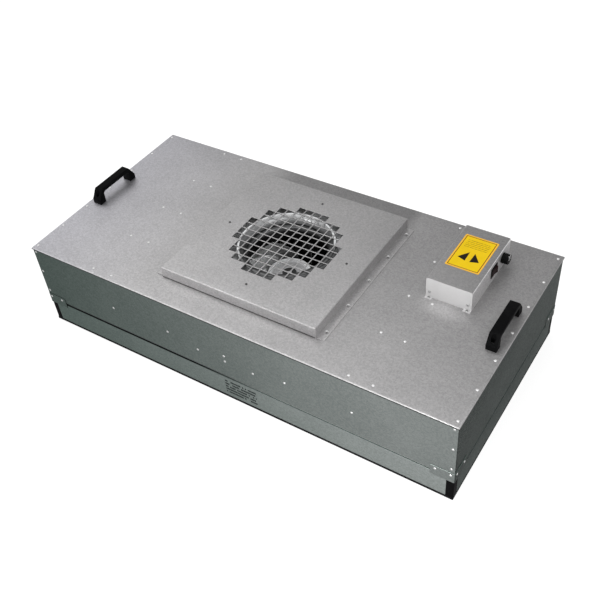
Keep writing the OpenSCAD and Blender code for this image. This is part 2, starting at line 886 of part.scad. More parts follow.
// Foam pad glued on a baffle
module baffle_foam() {
    color(foam) difference() {
        translate([baffle_x, 0, baffle_z + (sheet_t + foam_t) / 2])
            cube([baffle_w - foam_margin, support_l - 4 * foam_margin, foam_t], center = true);
        translate([0, 0, baffle_z - 20])
            cylinder(h = 60, r = impeller_r + baffle_clear + foam_margin / 2, $fn = 96);
    }
}

module baffle_right() {
    baffle();
}

module baffle_left() {
    mirror([1, 0, 0]) baffle();
}

module baffle_foam_right() {
    baffle_foam();
}

module baffle_foam_left() {
    mirror([1, 0, 0]) baffle_foam();
}

// ---------- filter ----------

// A flat rectangular ring on the XY plane
module ring_strip(l, w, strip, h) {
    linear_extrude(h) difference() {
        square([l, w], center = true);
        square([l - 2 * strip, w - 2 * strip], center = true);
    }
}

module seam_gasket() {
    color(black) translate([0, 0, z_seam])
        ring_strip(unit_l - 2 * seam_inset, unit_w - 2 * seam_inset, seam_strip, seam_h);
}

module bottom_gasket() {
    color(black) ring_strip(frame_l, frame_w, gasket_w, gasket_h);
}

// A filter rail of the given length, centred, its web on the -Y side
module rail(l, w) {
    color(zinc_dark) translate([-l / 2, -w / 2, z_frame]) rotate([90, 0, 90])
        linear_extrude(l) c_section(rail_flange, filter_h, rail_t, 1.5 * rail_t);
}

module filter_rail_front() {
    rail(frame_l - 2 * post_w, frame_w);
}

module filter_rail_back() {
    mirror([0, 1, 0]) rail(frame_l - 2 * post_w, frame_w);
}

module filter_rail_right() {
    rotate([0, 0, 90]) rail(frame_w - 2 * post_w, frame_l);
}

module filter_rail_left() {
    rotate([0, 0, -90]) rail(frame_w - 2 * post_w, frame_l);
}

// Moulded post at the -X -Y corner, with a tongue into each rail
module corner_post() {
    tongue_h = filter_h - 2 * rail_t - 2 * snug;
    color(black) translate([-frame_l / 2, -frame_w / 2, z_frame]) {
        linear_extrude(filter_h) difference() {
            union() {
                translate([3, 0]) square([post_w - 3, post_w]);
                translate([0, 3]) square([post_w, post_w - 3]);
                translate([3, 3]) circle(3);
            }
            translate([post_w, post_w]) circle(post_w / 2, $fn = 48);
        }
        for (m = [0, 1]) mirror([m, -m, 0])
            translate([post_w - cut, rail_t + fit, rail_t + snug])
                cube([post_tongue + cut, post_tongue_t, tongue_h]);
    }
}

module corner_post_front_left() {
    corner_post();
}

module corner_post_front_right() {
    mirror([1, 0, 0]) corner_post();
}

module corner_post_back_left() {
    mirror([0, 1, 0]) corner_post();
}

module corner_post_back_right() {
    mirror([1, 0, 0]) mirror([0, 1, 0]) corner_post();
}

// Cast sealant between the pleated pack and the frame
module filter_sealant() {
    color(paper) translate([0, 0, z_media]) linear_extrude(media_h) difference() {
        square([frame_l - 2 * seal_gap, frame_w - 2 * seal_gap], center = true);
        square([media_l, media_w], center = true);
        corners() translate([-frame_l / 2, -frame_w / 2]) square(post_w + fit);
    }
}

// Pleated sheet: a zigzag along X, drawn out along Y
module filter_media() {
    folds = 2 * floor((media_l - 2 * snug) / pleat_pitch);
    run = (media_l - 2 * fit) / folds;
    rise = media_h - media_depth;
    line = [for (i = [0:folds]) [-media_l / 2 + fit + i * run, (i % 2) * rise]];
    color(paper) translate([0, (media_w - 2 * fit) / 2, z_media]) rotate([90, 0, 0])
        linear_extrude(media_w - 2 * fit) polygon(concat(
            line,
            [for (i = [folds:-1:0]) line[i] + [0, media_depth]]
        ));
}

// Guard under the pleats: a sheet with rows of diamond holes
module filter_guard() {
    guard_l = frame_l - 2 * rail_t - 2 * post_w;
    guard_w = frame_w - 2 * seal_gap;
    nx = floor((guard_l - 2 * rail_flange) / guard_pitch);
    ny = floor((guard_w - 2 * rail_flange) / (guard_pitch / 2));
    a = guard_pitch / 2 - guard_strand;
    b = guard_pitch / 4 - guard_strand / 2;
    spots = [
        for (i = [0:2 * nx - 2], j = [0:2 * ny - 2]) if ((i + j) % 2 == 0)
            [(i / 2 - (nx - 1) / 2) * guard_pitch, (j / 2 - (ny - 1) / 2) * guard_pitch / 2]
    ];
    outer = [
        [-guard_l / 2, -guard_w / 2], [guard_l / 2, -guard_w / 2],
        [guard_l / 2, guard_w / 2], [-guard_l / 2, guard_w / 2]
    ];
    diamonds = [for (p = spots) each [p + [a, 0], p + [0, b], p - [a, 0], p - [0, b]]];
    color(white) translate([0, 0, z_guard]) linear_extrude(guard_t) polygon(
        concat(outer, diamonds),
        concat([[0, 1, 2, 3]], [for (k = [1:len(spots)]) [4 * k, 4 * k + 1, 4 * k + 2, 4 * k + 3]])
    );
}

// ---------- corner brackets ----------

// Bracket at the +X -Y corner: an L of sheet over the seam
module corner_bracket() {
    x = panel_l / 2 + sheet_t;
    y = panel_w / 2 + sheet_t;
    color(zinc) translate([x, -y, bracket_top - bracket_h]) difference() {
        linear_extrude(bracket_h) difference() {
            mirror([1, 0]) union() {
                translate([bend_r, 0]) square([bracket_l - bend_r, bracket_l]);
                translate([0, bend_r]) square([bracket_l, bracket_l - bend_r]);
                translate([bend_r, bend_r]) circle(bend_r);
            }
            translate([-bracket_l - sheet_t, sheet_t]) square(bracket_l);
        }
        translate([-x, y, bracket_h - bracket_top]) {
            at_bracket_front() rivet_hole();
            at_bracket_side() rivet_hole();
        }
    }
}

module corner_bracket_front_right() {
    corner_bracket();
}

module corner_bracket_front_left() {
    mirror([1, 0, 0]) corner_bracket();
}

module corner_bracket_back_right() {
    mirror([0, 1, 0]) corner_bracket();
}

module corner_bracket_back_left() {
    mirror([1, 0, 0]) mirror([0, 1, 0]) corner_bracket();
}

// ---------- control box ----------

// Base: floor, two end plates with rounded upper corners, four foot tabs
module box_base() {
    color(white) difference() {
        union() {
            translate([box_x, box_y, z_top + box_t / 2])
                cube([box_w - 2 * box_t - 2 * snug, box_l, box_t], center = true);
            for (s = [-1, 1]) translate([box_x, box_y + s * (box_l - box_t) / 2 + box_t / 2, z_top])
                rotate([90, 0, 0]) linear_extrude(box_t) arch(box_w, box_h, 4);
            for (s = [-1, 1], x = [-1, 1])
                translate([box_x + x * box_screw_x, box_y + s * (box_l / 2 + tab_l / 2 - box_t / 2), z_top + box_t / 2])
                    cube([tab_w, tab_l + box_t, box_t], center = true);
        }
        at_plate_screws() rivet_hole();
        at_tab_screws() rivet_hole();
        on_box_back() translate([0, 0, -2 * box_t])
            linear_extrude(4 * box_t) square([inlet_body_l + 2 * fit, inlet_body_h + 2 * fit], center = true);
    }
}

// Cover: top and two long sides, with an inward flange at each corner
module box_cover() {
    span = box_l - 2 * box_t;
    ear_w = 16;
    color(zinc) difference() {
        union() {
            translate([box_x, box_y + span / 2, z_top]) rotate([90, 0, 0]) linear_extrude(span)
                difference() {
                    arch(box_w, box_h, bend_r);
                    translate([0, -cut]) arch(box_w - 2 * box_t, box_h - box_t + cut, bend_r - box_t);
                }
            for (s = [-1, 1], x = [-1, 1])
                translate([box_x + x * (box_w - ear_w) / 2, box_y + s * (span - box_t) / 2, z_top + box_screw_z + 2])
                    cube([ear_w, box_t, 20], center = true);
        }
        at_plate_screws() rivet_hole();
        translate([box_face_x, switch_y, side_part_z])
            cube([4 * box_t, switch_body_l + 2 * fit, switch_body_w + 2 * fit], center = true);
        translate([box_face_x, knob_y, side_part_z]) rotate([0, 90, 0])
            cylinder(h = 6 * box_t, r = bushing_r + fit, center = true);
    }
}

module box_screws() {
    color(steel) {
        at_plate_screws() pan_screw(3.2, 2, rivet_r, 2 * box_t + 2);
        at_tab_screws() pan_screw(3.2, 2, rivet_r, box_t + sheet_t + 2);
    }
}

module label_plate() {
    color(yellow) translate([box_x, label_y, z_top + box_h])
        linear_extrude(label_t) round_rect(label_w, label_l, 3);
}

// Puts its children on the back end plate, their Z pointing out of the box
module on_box_back() {
    translate([inlet_x, box_y + box_l / 2, side_part_z]) rotate([-90, 0, 0]) mirror([0, 1, 0]) children();
}

module power_inlet() {
    color(black) on_box_back() difference() {
        union() {
            linear_extrude(inlet_flange_t) round_rect(inlet_flange_l, inlet_flange_h, 2);
            translate([0, 0, -inlet_depth]) linear_extrude(inlet_depth + cut)
                square([inlet_body_l, inlet_body_h], center = true);
        }
        translate([0, 0, inlet_flange_t - socket_depth]) linear_extrude(socket_depth + cut) polygon([
            [-socket_l / 2, -socket_h / 2], [socket_l / 2, -socket_h / 2],
            [socket_l / 2, socket_h / 2 - socket_bevel], [socket_l / 2 - socket_bevel, socket_h / 2],
            [socket_bevel - socket_l / 2, socket_h / 2], [-socket_l / 2, socket_h / 2 - socket_bevel]
        ]);
        at_pins() translate([0, 0, -inlet_depth]) pin_blade(fit, 2 * inlet_depth);
    }
}

// Places of the three pins, on the socket's floor
module at_pins() {
    for (p = [[-pin_dx, -pin_dz], [pin_dx, -pin_dz], [0, pin_dz]])
        translate([p[0], p[1], inlet_flange_t - socket_depth]) children();
}

// A flat pin on end, grown by g, its length h
module pin_blade(g, h) {
    linear_extrude(h) square([pin_t + 2 * g, pin_l + 2 * g], center = true);
}

module inlet_pins() {
    tail = 12;
    color(steel) on_box_back() at_pins() translate([0, 0, -tail]) pin_blade(0, tail + pin_out);
}

// Turns a plan in (u, v, w) so that u runs along Y, v out of the box and w along Z
module on_box_side(y) {
    translate([box_face_x, y, side_part_z]) mirror([1, 0, 0]) rotate([0, 0, 90]) children();
}

module switch_body() {
    recess_l = 2 * rocker_r + 0.8;
    recess_w = rocker_w + 0.6;
    recess_low = -11;
    color(black) on_box_side(switch_y) difference() {
        union() {
            translate([-bezel_l / 2, 0, -bezel_w / 2]) cube([bezel_l, bezel_t, bezel_w]);
            translate([-switch_body_l / 2, -switch_depth, -switch_body_w / 2])
                cube([switch_body_l, switch_depth + cut, switch_body_w]);
        }
        translate([-recess_l / 2, recess_low, -recess_w / 2]) cube([recess_l, 20, recess_w]);
        translate([0, rocker_pivot, 0])
            cylinder(h = recess_w + 2 * trunnion_l + 2 * snug, r = trunnion_r + fit, center = true);
    }
}

// Rocker: a shallow V over a round end profile, pressed to one side
module switch_rocker() {
    color([0.25, 0.05, 0.05]) on_box_side(switch_y) translate([0, rocker_pivot, 0]) rotate([0, 0, rocker_tilt]) {
        intersection() {
            cylinder(h = rocker_w, r = rocker_r, center = true, $fn = 64);
            translate([0, -rocker_pivot, -rocker_w]) linear_extrude(2 * rocker_w) polygon([
                [-rocker_r - cut, rocker_low], [rocker_r + cut, rocker_low],
                [rocker_r + cut, rocker_high], [0, rocker_mid], [-rocker_r - cut, rocker_high]
            ]);
        }
        cylinder(h = rocker_w + 0.6 + 2 * trunnion_l, r = trunnion_r, center = true);
    }
}

// Speed control behind the box's side, with its bushing and nut
module speed_control() {
    color(steel) translate([box_face_x, knob_y, side_part_z]) rotate([0, 90, 0]) difference() {
        union() {
            translate([0, 0, -box_t - pot_h]) cylinder(h = pot_h, r = pot_r);
            translate([0, 0, -box_t - cut]) cylinder(h = box_t + cut + bushing_out, r = bushing_r);
            cylinder(h = nut_h, r = nut_r, $fn = 6);
        }
        translate([0, 0, -box_t - 8]) cylinder(h = 40, r = knob_shaft_r + fit);
    }
}

module knob_shaft() {
    color(steel) translate([box_face_x, knob_y, side_part_z]) rotate([0, 90, 0])
        translate([0, 0, -box_t - 7]) cylinder(h = box_t + 7 + knob_clear + knob_l - 3, r = knob_shaft_r);
}

// Knob with fluted sides, a hollow for the nut and a pointer groove
module speed_knob() {
    hollow = bushing_out + 0.6;
    color(black) translate([box_face_x + knob_clear, knob_y, side_part_z]) rotate([0, 90, 0]) difference() {
        union() {
            cylinder(h = 3, r = knob_r);
            translate([0, 0, 3]) cylinder(h = knob_l - 4, r = knob_r - 0.6);
            translate([0, 0, knob_l - 1]) cylinder(h = 1, r1 = knob_r - 0.6, r2 = knob_r - 1.6);
        }
        for (i = [0:flutes_n - 1]) rotate([0, 0, (i + 0.5) * 360 / flutes_n])
            translate([knob_r, 0, 4]) cylinder(h = knob_l, r = flute_r, $fn = 16);
        translate([0, 0, -cut]) cylinder(h = hollow + cut, r = nut_r + 0.6);
        cylinder(h = knob_l - 3, r = knob_shaft_r + 0.01);
        translate([-knob_r, -0.6, knob_l - 0.6]) cube([knob_r - 3, 1.2, 1]);
    }
}

module run_capacitor() {
    cap_r = 15;
    cap_l = 66;
    color(white) translate([box_x - 22, box_y - 60, z_top + box_t + cap_r + 0.1]) rotate([-90, 0, 0]) {
        cylinder(h = cap_l, r = cap_r);
        translate([0, 0, cap_l]) cylinder(h = 3, r = cap_r - 3);
    }
}

// ---------- handles ----------

// Side outline of half a handle, from its grip to one foot
handle_half = let(end = handle_l / 2) concat(
    [[grip_half, handle_h]],
    arc([end - 6, foot_h], 6, 55, 0, 5),
    [[end, 0], [end - foot_l, 0]],
    arc([end - foot_l - 7, handle_h - bar_t - 7], 7, 0, 90, 5)
);
handle_side = concat(
    handle_half,
    [for (i = [len(handle_half) - 1:-1:0]) [-handle_half[i][0], handle_half[i][1]]]
);

// Bridge handle along Y, standing on the XY plane
module handle() {
    color(black) intersection() {
        difference() {
            rotate([90, 0, 90]) linear_extrude(handle_w, center = true) polygon(handle_side);
            for (s = [-1, 1]) translate([0, s * screw_y, 0]) {
                translate([0, 0, pocket_floor]) cylinder(h = handle_h, r = pocket_r);
                translate([0, 0, -cut]) cylinder(h = handle_h, r = screw_r + fit);
            }
        }
        rotate([90, 0, 0]) linear_extrude(handle_l + 2 * cut, center = true) arch(handle_w, handle_h, 4);
    }
}

module handle_right() {
    translate([handle_x, 0, z_top]) handle();
}

module handle_left() {
    translate([-handle_x, 0, z_top]) handle();
}

// Socket head screws in the handles' pockets, each with a nut under the top panel
module handle_screws() {
    reach = 8;
    color(steel) at_handle_screws() {
        difference() {
            union() {
                translate([0, 0, -reach]) cylinder(h = reach + pocket_floor, r = screw_r, $fn = 24);
                translate([0, 0, pocket_floor]) cylinder(h = screw_head_h, r = screw_head_r);
                translate([0, 0, -sheet_t - 4]) cylinder(h = 4, r = 4.6, $fn = 6);
            }
            translate([0, 0, pocket_floor + screw_head_h - 2.5]) cylinder(h = 5, r = 2.3, $fn = 6);
        }
    }
}

// ---------- nodes ----------

top_panel();
front_panel();
back_panel();
left_panel();
right_panel();
pop_rivets();
cross_channel_left();
cross_channel_right();
inlet_cover();
cover_bolts();
inlet_ring();
ring_posts();
ring_screws();
motor_support();
motor_flange();
motor_screws();
stator_core();
motor_bearings();
motor_shaft();
rotor_can();
impeller_back_plate();
impeller_blades();
impeller_shroud();
impeller_screws();
baffle_left();
baffle_right();
baffle_foam_left();
baffle_foam_right();
seam_gasket();
filter_rail_front();
filter_rail_back();
filter_rail_left();
filter_rail_right();
corner_post_front_left();
corner_post_front_right();
corner_post_back_left();
corner_post_back_right();
filter_sealant();
filter_media();
filter_guard();
bottom_gasket();
corner_bracket_front_left();
corner_bracket_front_right();
corner_bracket_back_left();
corner_bracket_back_right();
box_base();
box_cover();
box_screws();
label_plate();
power_inlet();
inlet_pins();
switch_body();
switch_rocker();
speed_control();
knob_shaft();
speed_knob();
run_capacitor();
handle_left();
handle_right();
handle_screws();
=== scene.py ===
"""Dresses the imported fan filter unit: finishes for every sheet, casting and moulding,
the expanded metal face under the filter, and the stage with its lamps and camera."""

import math
from collections import namedtuple

import bpy
import numpy as np
from bpy.props import FloatProperty, FloatVectorProperty, PointerProperty
from mathutils import Matrix, Vector


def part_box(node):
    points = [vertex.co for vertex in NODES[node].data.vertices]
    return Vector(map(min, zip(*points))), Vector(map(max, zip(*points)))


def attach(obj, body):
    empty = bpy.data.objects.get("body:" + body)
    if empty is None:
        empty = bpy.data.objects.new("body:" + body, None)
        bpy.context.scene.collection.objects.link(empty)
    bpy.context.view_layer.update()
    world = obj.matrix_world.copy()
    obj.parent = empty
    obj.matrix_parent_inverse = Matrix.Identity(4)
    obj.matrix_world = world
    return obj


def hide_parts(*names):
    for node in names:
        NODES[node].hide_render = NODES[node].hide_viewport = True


bl_info = {
    "name": "Fan filter unit looks",
    "version": (1, 0, 0),
    "blender": (4, 5, 0),
    "location": "3D View > Sidebar > Filter Unit",
    "description": "Finishes, face mesh and stage for a packed fan filter unit",
    "category": "Object",
}

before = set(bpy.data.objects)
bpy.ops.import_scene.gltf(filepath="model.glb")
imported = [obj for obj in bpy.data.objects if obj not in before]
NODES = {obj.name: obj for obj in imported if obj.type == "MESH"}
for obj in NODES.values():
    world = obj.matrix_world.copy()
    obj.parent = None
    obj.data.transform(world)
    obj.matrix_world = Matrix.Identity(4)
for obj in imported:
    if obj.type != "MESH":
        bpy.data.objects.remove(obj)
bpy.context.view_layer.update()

MM = 0.001
CORNERS = ("front_left", "front_right", "back_left", "back_right")
SIDES = ("front", "back", "left", "right")


# ---------- sizes and colours that a user would change ----------

class SheetLook(bpy.types.PropertyGroup):
    """Galvanised sheet of the casing, its cover and the control box."""

    light: FloatVectorProperty(
        name="Light grain", description="Colour of the pale zinc grains on the top sheets",
        subtype="COLOR", size=3, min=0, max=1, default=(0.652, 0.642, 0.645))
    dark: FloatVectorProperty(
        name="Dark grain", description="Colour of the dull zinc grains on the top sheets",
        subtype="COLOR", size=3, min=0, max=1, default=(0.410, 0.404, 0.407))
    # Painted shade: the side sheets' grains are darker, greener copies of the top's zinc
    shaded_side_pale: FloatVectorProperty(
        name="Side light grain", description="Colour of the pale grains on the side sheets",
        subtype="COLOR", size=3, min=0, max=1, default=(0.088, 0.111, 0.102))
    shaded_side_dull: FloatVectorProperty(
        name="Side dark grain", description="Colour of the dull grains on the side sheets",
        subtype="COLOR", size=3, min=0, max=1, default=(0.047, 0.064, 0.058))
    # Painted light: the grains that faces towards the front turn to at their right end
    lit_front_pale: FloatVectorProperty(
        name="Front light grain", description="Colour of the pale grains at the front's right end",
        subtype="COLOR", size=3, min=0, max=1, default=(0.200, 0.213, 0.208))
    lit_front_dull: FloatVectorProperty(
        name="Front dark grain", description="Colour of the dull grains at the front's right end",
        subtype="COLOR", size=3, min=0, max=1, default=(0.116, 0.128, 0.124))
    grain: FloatProperty(
        name="Grain size", description="Width of one zinc grain",
        subtype="DISTANCE", unit="LENGTH", default=0.0032, min=0.001, max=0.03)
    roughness: FloatProperty(
        name="Roughness", description="Roughness of the zinc coat", subtype="FACTOR",
        default=0.44, min=0, max=1)
    edge: FloatProperty(
        name="Edge rounding", description="Radius at which folded edges catch the light",
        subtype="DISTANCE", unit="LENGTH", default=0.0011, min=0, max=0.005)


class PlasticLook(bpy.types.PropertyGroup):
    """Moulded and rubber parts."""

    black: FloatVectorProperty(
        name="Black", description="Colour of the handles, corner posts and switch",
        subtype="COLOR", size=3, min=0, max=1, default=(0.003, 0.003, 0.0033))
    rocker: FloatVectorProperty(
        name="Rocker", description="Colour of the switch rocker",
        subtype="COLOR", size=3, min=0, max=1, default=(0.012, 0.004, 0.0045))
    label: FloatVectorProperty(
        name="Label", description="Ground colour of the label on the control box",
        subtype="COLOR", size=3, min=0, max=1, default=(0.74, 0.50, 0.003))
    ink: FloatVectorProperty(
        name="Ink", description="Colour of the border and marks on the label",
        subtype="COLOR", size=3, min=0, max=1, default=(0.010, 0.007, 0.004))


class FaceLook(bpy.types.PropertyGroup):
    """Expanded metal face under the filter."""

    cell_x: FloatProperty(
        name="Cell length", description="Length of one diamond along the unit",
        subtype="DISTANCE", unit="LENGTH", default=0.022, min=0.008, max=0.1)
    cell_y: FloatProperty(
        name="Cell width", description="Width of one diamond across the unit",
        subtype="DISTANCE", unit="LENGTH", default=0.011, min=0.005, max=0.1)
    strand: FloatProperty(
        name="Strand", description="Width of one strand",
        subtype="DISTANCE", unit="LENGTH", default=0.0015, min=0.0005, max=0.004)
    margin: FloatProperty(
        name="Margin", description="Plain border of the face",
        subtype="DISTANCE", unit="LENGTH", default=0.010, min=0.002, max=0.05)


class StageLook(bpy.types.PropertyGroup):
    """Floor, lamps and camera."""

    key: FloatProperty(
        name="Key light", description="Strength of the broad light from above the left",
        default=0.86, min=0, max=20)
    rim: FloatProperty(
        name="Edge light", description="Strength of the light that draws the folded front edges",
        default=0.8, min=0, max=20)
    fill: FloatProperty(
        name="Front lamp", description="Power of the low lamp before the front's right half",
        unit="POWER", default=8, min=0, max=500)
    right: FloatProperty(
        name="Right lamp", description="Power of the soft lamp high before the right end",
        unit="POWER", default=9, min=0, max=500)
    world: FloatProperty(
        name="Ambient", description="Strength of the even light from all around",
        default=0.52, min=0, max=2)
    zenith: FloatProperty(
        name="Zenith", description="Strength of the backdrop overhead, next to 1 at the horizon",
        default=0.34, min=0, max=1)
    floor: FloatProperty(
        name="Floor size", description="Side of the square floor",
        subtype="DISTANCE", unit="LENGTH", default=14, min=4, max=50)
    azimuth: FloatProperty(
        name="Camera azimuth", description="Turn of the camera from the front to the right",
        subtype="ANGLE", unit="ROTATION", default=math.radians(36.443))
    elevation: FloatProperty(
        name="Camera elevation", description="Height angle of the camera",
        subtype="ANGLE", unit="ROTATION", default=math.radians(43.483))
    roll: FloatProperty(
        name="Camera roll", description="Turn of the camera about its own axis",
        subtype="ANGLE", unit="ROTATION", default=math.radians(-5.781))
    distance: FloatProperty(
        name="Camera distance", description="From the camera to the point it looks at",
        subtype="DISTANCE", unit="LENGTH", default=1.96512)
    target: FloatVectorProperty(
        name="Camera target", description="Point that the camera looks at",
        subtype="XYZ", unit="LENGTH", size=3, default=(0.118575, -0.128483, 0.252))
    lens: FloatProperty(
        name="Lens", description="Focal length on a 36 mm wide sensor",
        unit="CAMERA", default=51.67)


def looks(name):
    """One of the groups of settings above, as the scene holds it."""
    return getattr(bpy.context.scene, name)


# ---------- node trees ----------

BLACK = (0, 0, 0)
WHITE = (1, 1, 1)


class Finish:
    """A material with one Principled shader, and short ways to add the nodes that feed it."""

    def __init__(self, name, **sockets):
        self.material = bpy.data.materials.new(name)
        self.material.use_nodes = True
        self.tree = self.material.node_tree
        self.shader = self.tree.nodes["Principled BSDF"]
        for socket, value in sockets.items():
            self.shader.inputs[socket.replace("_", " ")].default_value = value

    def node(self, kind, **settings):
        """A new shader node of a kind, with its settings."""
        made = self.tree.nodes.new("ShaderNode" + kind)
        for key, value in settings.items():
            setattr(made, key, value)
        return made

    def join(self, source, target):
        self.tree.links.new(source, target)

    def place(self, scale=(1, 1, 1), centre=(0, 0, 0)):
        """Object coordinates from centre, then scaled."""
        coordinates = self.node("TexCoord")
        mapping = self.node("Mapping")
        mapping.inputs["Scale"].default_value = scale
        mapping.inputs["Location"].default_value = [-c * s for c, s in zip(centre, scale)]
        self.join(coordinates.outputs["Object"], mapping.inputs["Vector"])
        return mapping.outputs["Vector"]

    def split(self, vector):
        """The X, Y and Z of a vector."""
        made = self.node("SeparateXYZ")
        self.join(vector, made.inputs["Vector"])
        return made.outputs

    def where(self, centre=(0, 0, 0)):
        """X, Y and Z in object coordinates, from centre."""
        return self.split(self.place(centre=centre))

    def facing(self):
        """X, Y and Z of the way the surface faces."""
        return self.split(self.node("NewGeometry").outputs["Normal"])

    def from_axis(self):
        """Distance from the fan's axis."""
        made = self.node("VectorMath", operation="LENGTH")
        self.join(self.place(scale=(1, 1, 0)), made.inputs[0])
        return made.outputs["Value"]

    def noise(self, place, scale, detail=2.0, rough=0.5):
        """Soft noise about its middle of 0.5."""
        made = self.node("TexNoise")
        made.inputs["Scale"].default_value = scale
        made.inputs["Detail"].default_value = detail
        made.inputs["Roughness"].default_value = rough
        self.join(place, made.inputs["Vector"])
        return made.outputs["Fac"]

    def cells(self, place, scale):
        """One random value per cell of a Voronoi pattern."""
        made = self.node("TexVoronoi")
        made.inputs["Scale"].default_value = scale
        self.join(place, made.inputs["Vector"])
        split = self.node("SeparateColor")
        self.join(made.outputs["Color"], split.inputs["Color"])
        return split.outputs["Red"]

    def math(self, operation, a, b=0.0):
        """One Math node on numbers or outputs."""
        made = self.node("Math", operation=operation)
        for value, socket in ((a, made.inputs[0]), (b, made.inputs[1])):
            if isinstance(value, (int, float)):
                socket.default_value = value
            else:
                self.join(value, socket)
        return made.outputs["Value"]

    def plus(self, a, b):
        return self.math("ADD", a, b)

    def minus(self, a, b):
        return self.math("SUBTRACT", a, b)

    def apart(self, a, b):
        """Distance between two values."""
        return self.math("ABSOLUTE", self.minus(a, b))

    def times(self, product, *factors):
        """Product of numbers and outputs."""
        for factor in factors:
            product = self.math("MULTIPLY", product, factor)
        return product

    def most(self, a, b):
        return self.math("MAXIMUM", a, b)

    def above(self, value, limit):
        """1 where the value is above the limit, 0 elsewhere."""
        return self.math("GREATER_THAN", value, limit)

    def below(self, value, limit):
        """1 where the value is below the limit, 0 elsewhere."""
        return self.math("LESS_THAN", value, limit)

    def between(self, value, low, high):
        """1 where the value lies between low and high, 0 elsewhere."""
        return self.times(self.above(value, low), self.below(value, high))

    def span(self, value, low, high, start=0.0, end=1.0):
        """value from low..high taken to start..end, and held there outside."""
        made = self.node("MapRange")
        for socket, number in zip(("From Min", "From Max", "To Min", "To Max"), (low, high, start, end)):
            made.inputs[socket].default_value = number
        self.join(value, made.inputs["Value"])
        return made.outputs["Result"]

    def blend(self, share, first, second):
        """Colour between first and second, each a colour or an output."""
        made = self.node("Mix", data_type="RGBA")
        self.join(share, made.inputs["Factor"])
        for value, socket in ((first, made.inputs[6]), (second, made.inputs[7])):
            if isinstance(value, bpy.types.NodeSocket):
                self.join(value, socket)
            else:
                socket.default_value = (*value, 1)
        return made.outputs[2]

    def scaled(self, colour, gain):
        """A colour times an output."""
        made = self.node("VectorMath", operation="SCALE")
        self.join(colour, made.inputs["Vector"])
        self.join(gain, made.inputs["Scale"])
        return made.outputs["Vector"]

    def tinted(self, colour, share, tint):
        """A colour that turns towards its product with the tint as the share goes to 1."""
        made = self.node("VectorMath", operation="MULTIPLY")
        self.join(colour, made.inputs[0])
        self.join(self.blend(share, WHITE, tint), made.inputs[1])
        return made.outputs["Vector"]

    def bump(self, height, strength, distance, edge=0.0):
        """Relief of height over distance metres, on edges rounded by edge metres."""
        made = self.node("Bump")
        made.inputs["Strength"].default_value = strength
        made.inputs["Distance"].default_value = distance
        self.join(height, made.inputs["Height"])
        if edge:
            rounded = self.node("Bevel", samples=4)
            rounded.inputs["Radius"].default_value = edge
            self.join(rounded.outputs["Normal"], made.inputs["Normal"])
        self.join(made.outputs["Normal"], self.shader.inputs["Normal"])

    def paint(self, colour):
        self.join(colour, self.shader.inputs["Base Color"])

    def rough(self, value, start, end, low=0.3, high=0.7):
        """Roughness from start to end as the value goes from low to high."""
        self.join(self.span(value, low, high, start, end), self.shader.inputs["Roughness"])

    def worn(self, value, roughness):
        """Roughness a little under and over a middle, as handling leaves it."""
        self.rough(value, roughness - 0.05, roughness + 0.08)


# Faces that meet at less than this are shaded as one surface, and edges sharper than the
# second are bevelled where a bevel is asked for
SMOOTH_ANGLE = math.radians(30)
SHARP_ANGLE = math.radians(35)


def dress(finish, *names):
    """Gives CAD nodes' objects the finish, and smooth shading between their sharp edges."""
    for name in names:
        node = NODES[name]
        node.data.materials.clear()
        node.data.materials.append(finish.material)
        node.data.polygons.foreach_set("use_smooth", np.ones(len(node.data.polygons), bool))
        weld = node.modifiers.new("Weld", "WELD")
        weld.merge_threshold = 0.001 * MM
        split = node.modifiers.new("Edge Split", "EDGE_SPLIT")
        split.split_angle = SMOOTH_ANGLE


def soften(width, *names):
    """Bevels the sharp edges of dressed nodes' objects by width metres, after their weld."""
    for name in names:
        node = NODES[name]
        bevel = node.modifiers.new("Bevel", "BEVEL")
        bevel.width = width
        bevel.segments = 2
        bevel.limit_method = "ANGLE"
        bevel.angle_limit = SHARP_ANGLE
        node.modifiers.move(len(node.modifiers) - 1, 1)


# ---------- finishes ----------

# A dark or pale line round a sheet: its height, half its width, and an (x, gain) pair for
# each end of the stretch along which its gain changes
Band = namedtuple("Band", "height half left right")
# A shade on a flat sheet: from left to right along x and behind the y back, with its gain
Shade = namedtuple("Shade", "left right back gain")
# A bright patch of painted reflection: its middle (x, y), its reach along x and y, and
# the gain in its middle
ReflectedPatch = namedtuple("ReflectedPatch", "middle reach gain")

# Where the painted light and shade on the casing change, in metres: painted shade at the
# back right, a painted cool reflection at the top's left end, and painted light towards
# the front's right end
FAR_SLANT = 0.75  # weight of x next to y in how far a point lies to the back right
FAR_REACH = (-0.35, 0.55)  # where a top sheet starts to darken, and where it is darkest
COOL_REFLECTION_REACH = (-0.62, -0.25)  # x where the top's cool tint is full, and where it ends
PAINTED_LIGHT_REACH = (-0.62, 0.42)  # x where the front is dull, and where it is palest

# Printed bars on the filter frame: their pitch, the field they stand in and their ink
BAR_PITCH = 4.2 * MM
ROW_PITCH = 9.5 * MM
PRINT_X = (-12 * MM, 78 * MM)
PRINT_Z = (18 * MM, 66 * MM)
PRINT_INK = (0.012, 0.017, 0.016)

# Tint of the painted cool reflection at the top's left end
COOL_REFLECTION_TINT = (0.995, 1.0, 1.06)
RUBBER = (0.010, 0.010, 0.011)
DULL_ALLOY = (0.80, 0.81, 0.82)
BRIGHT_ALLOY = (0.96, 0.97, 0.98)


def even_band(height, half, gain):
    """A band with one gain along its whole length."""
    return Band(height, half, (-1, gain), (1, gain))


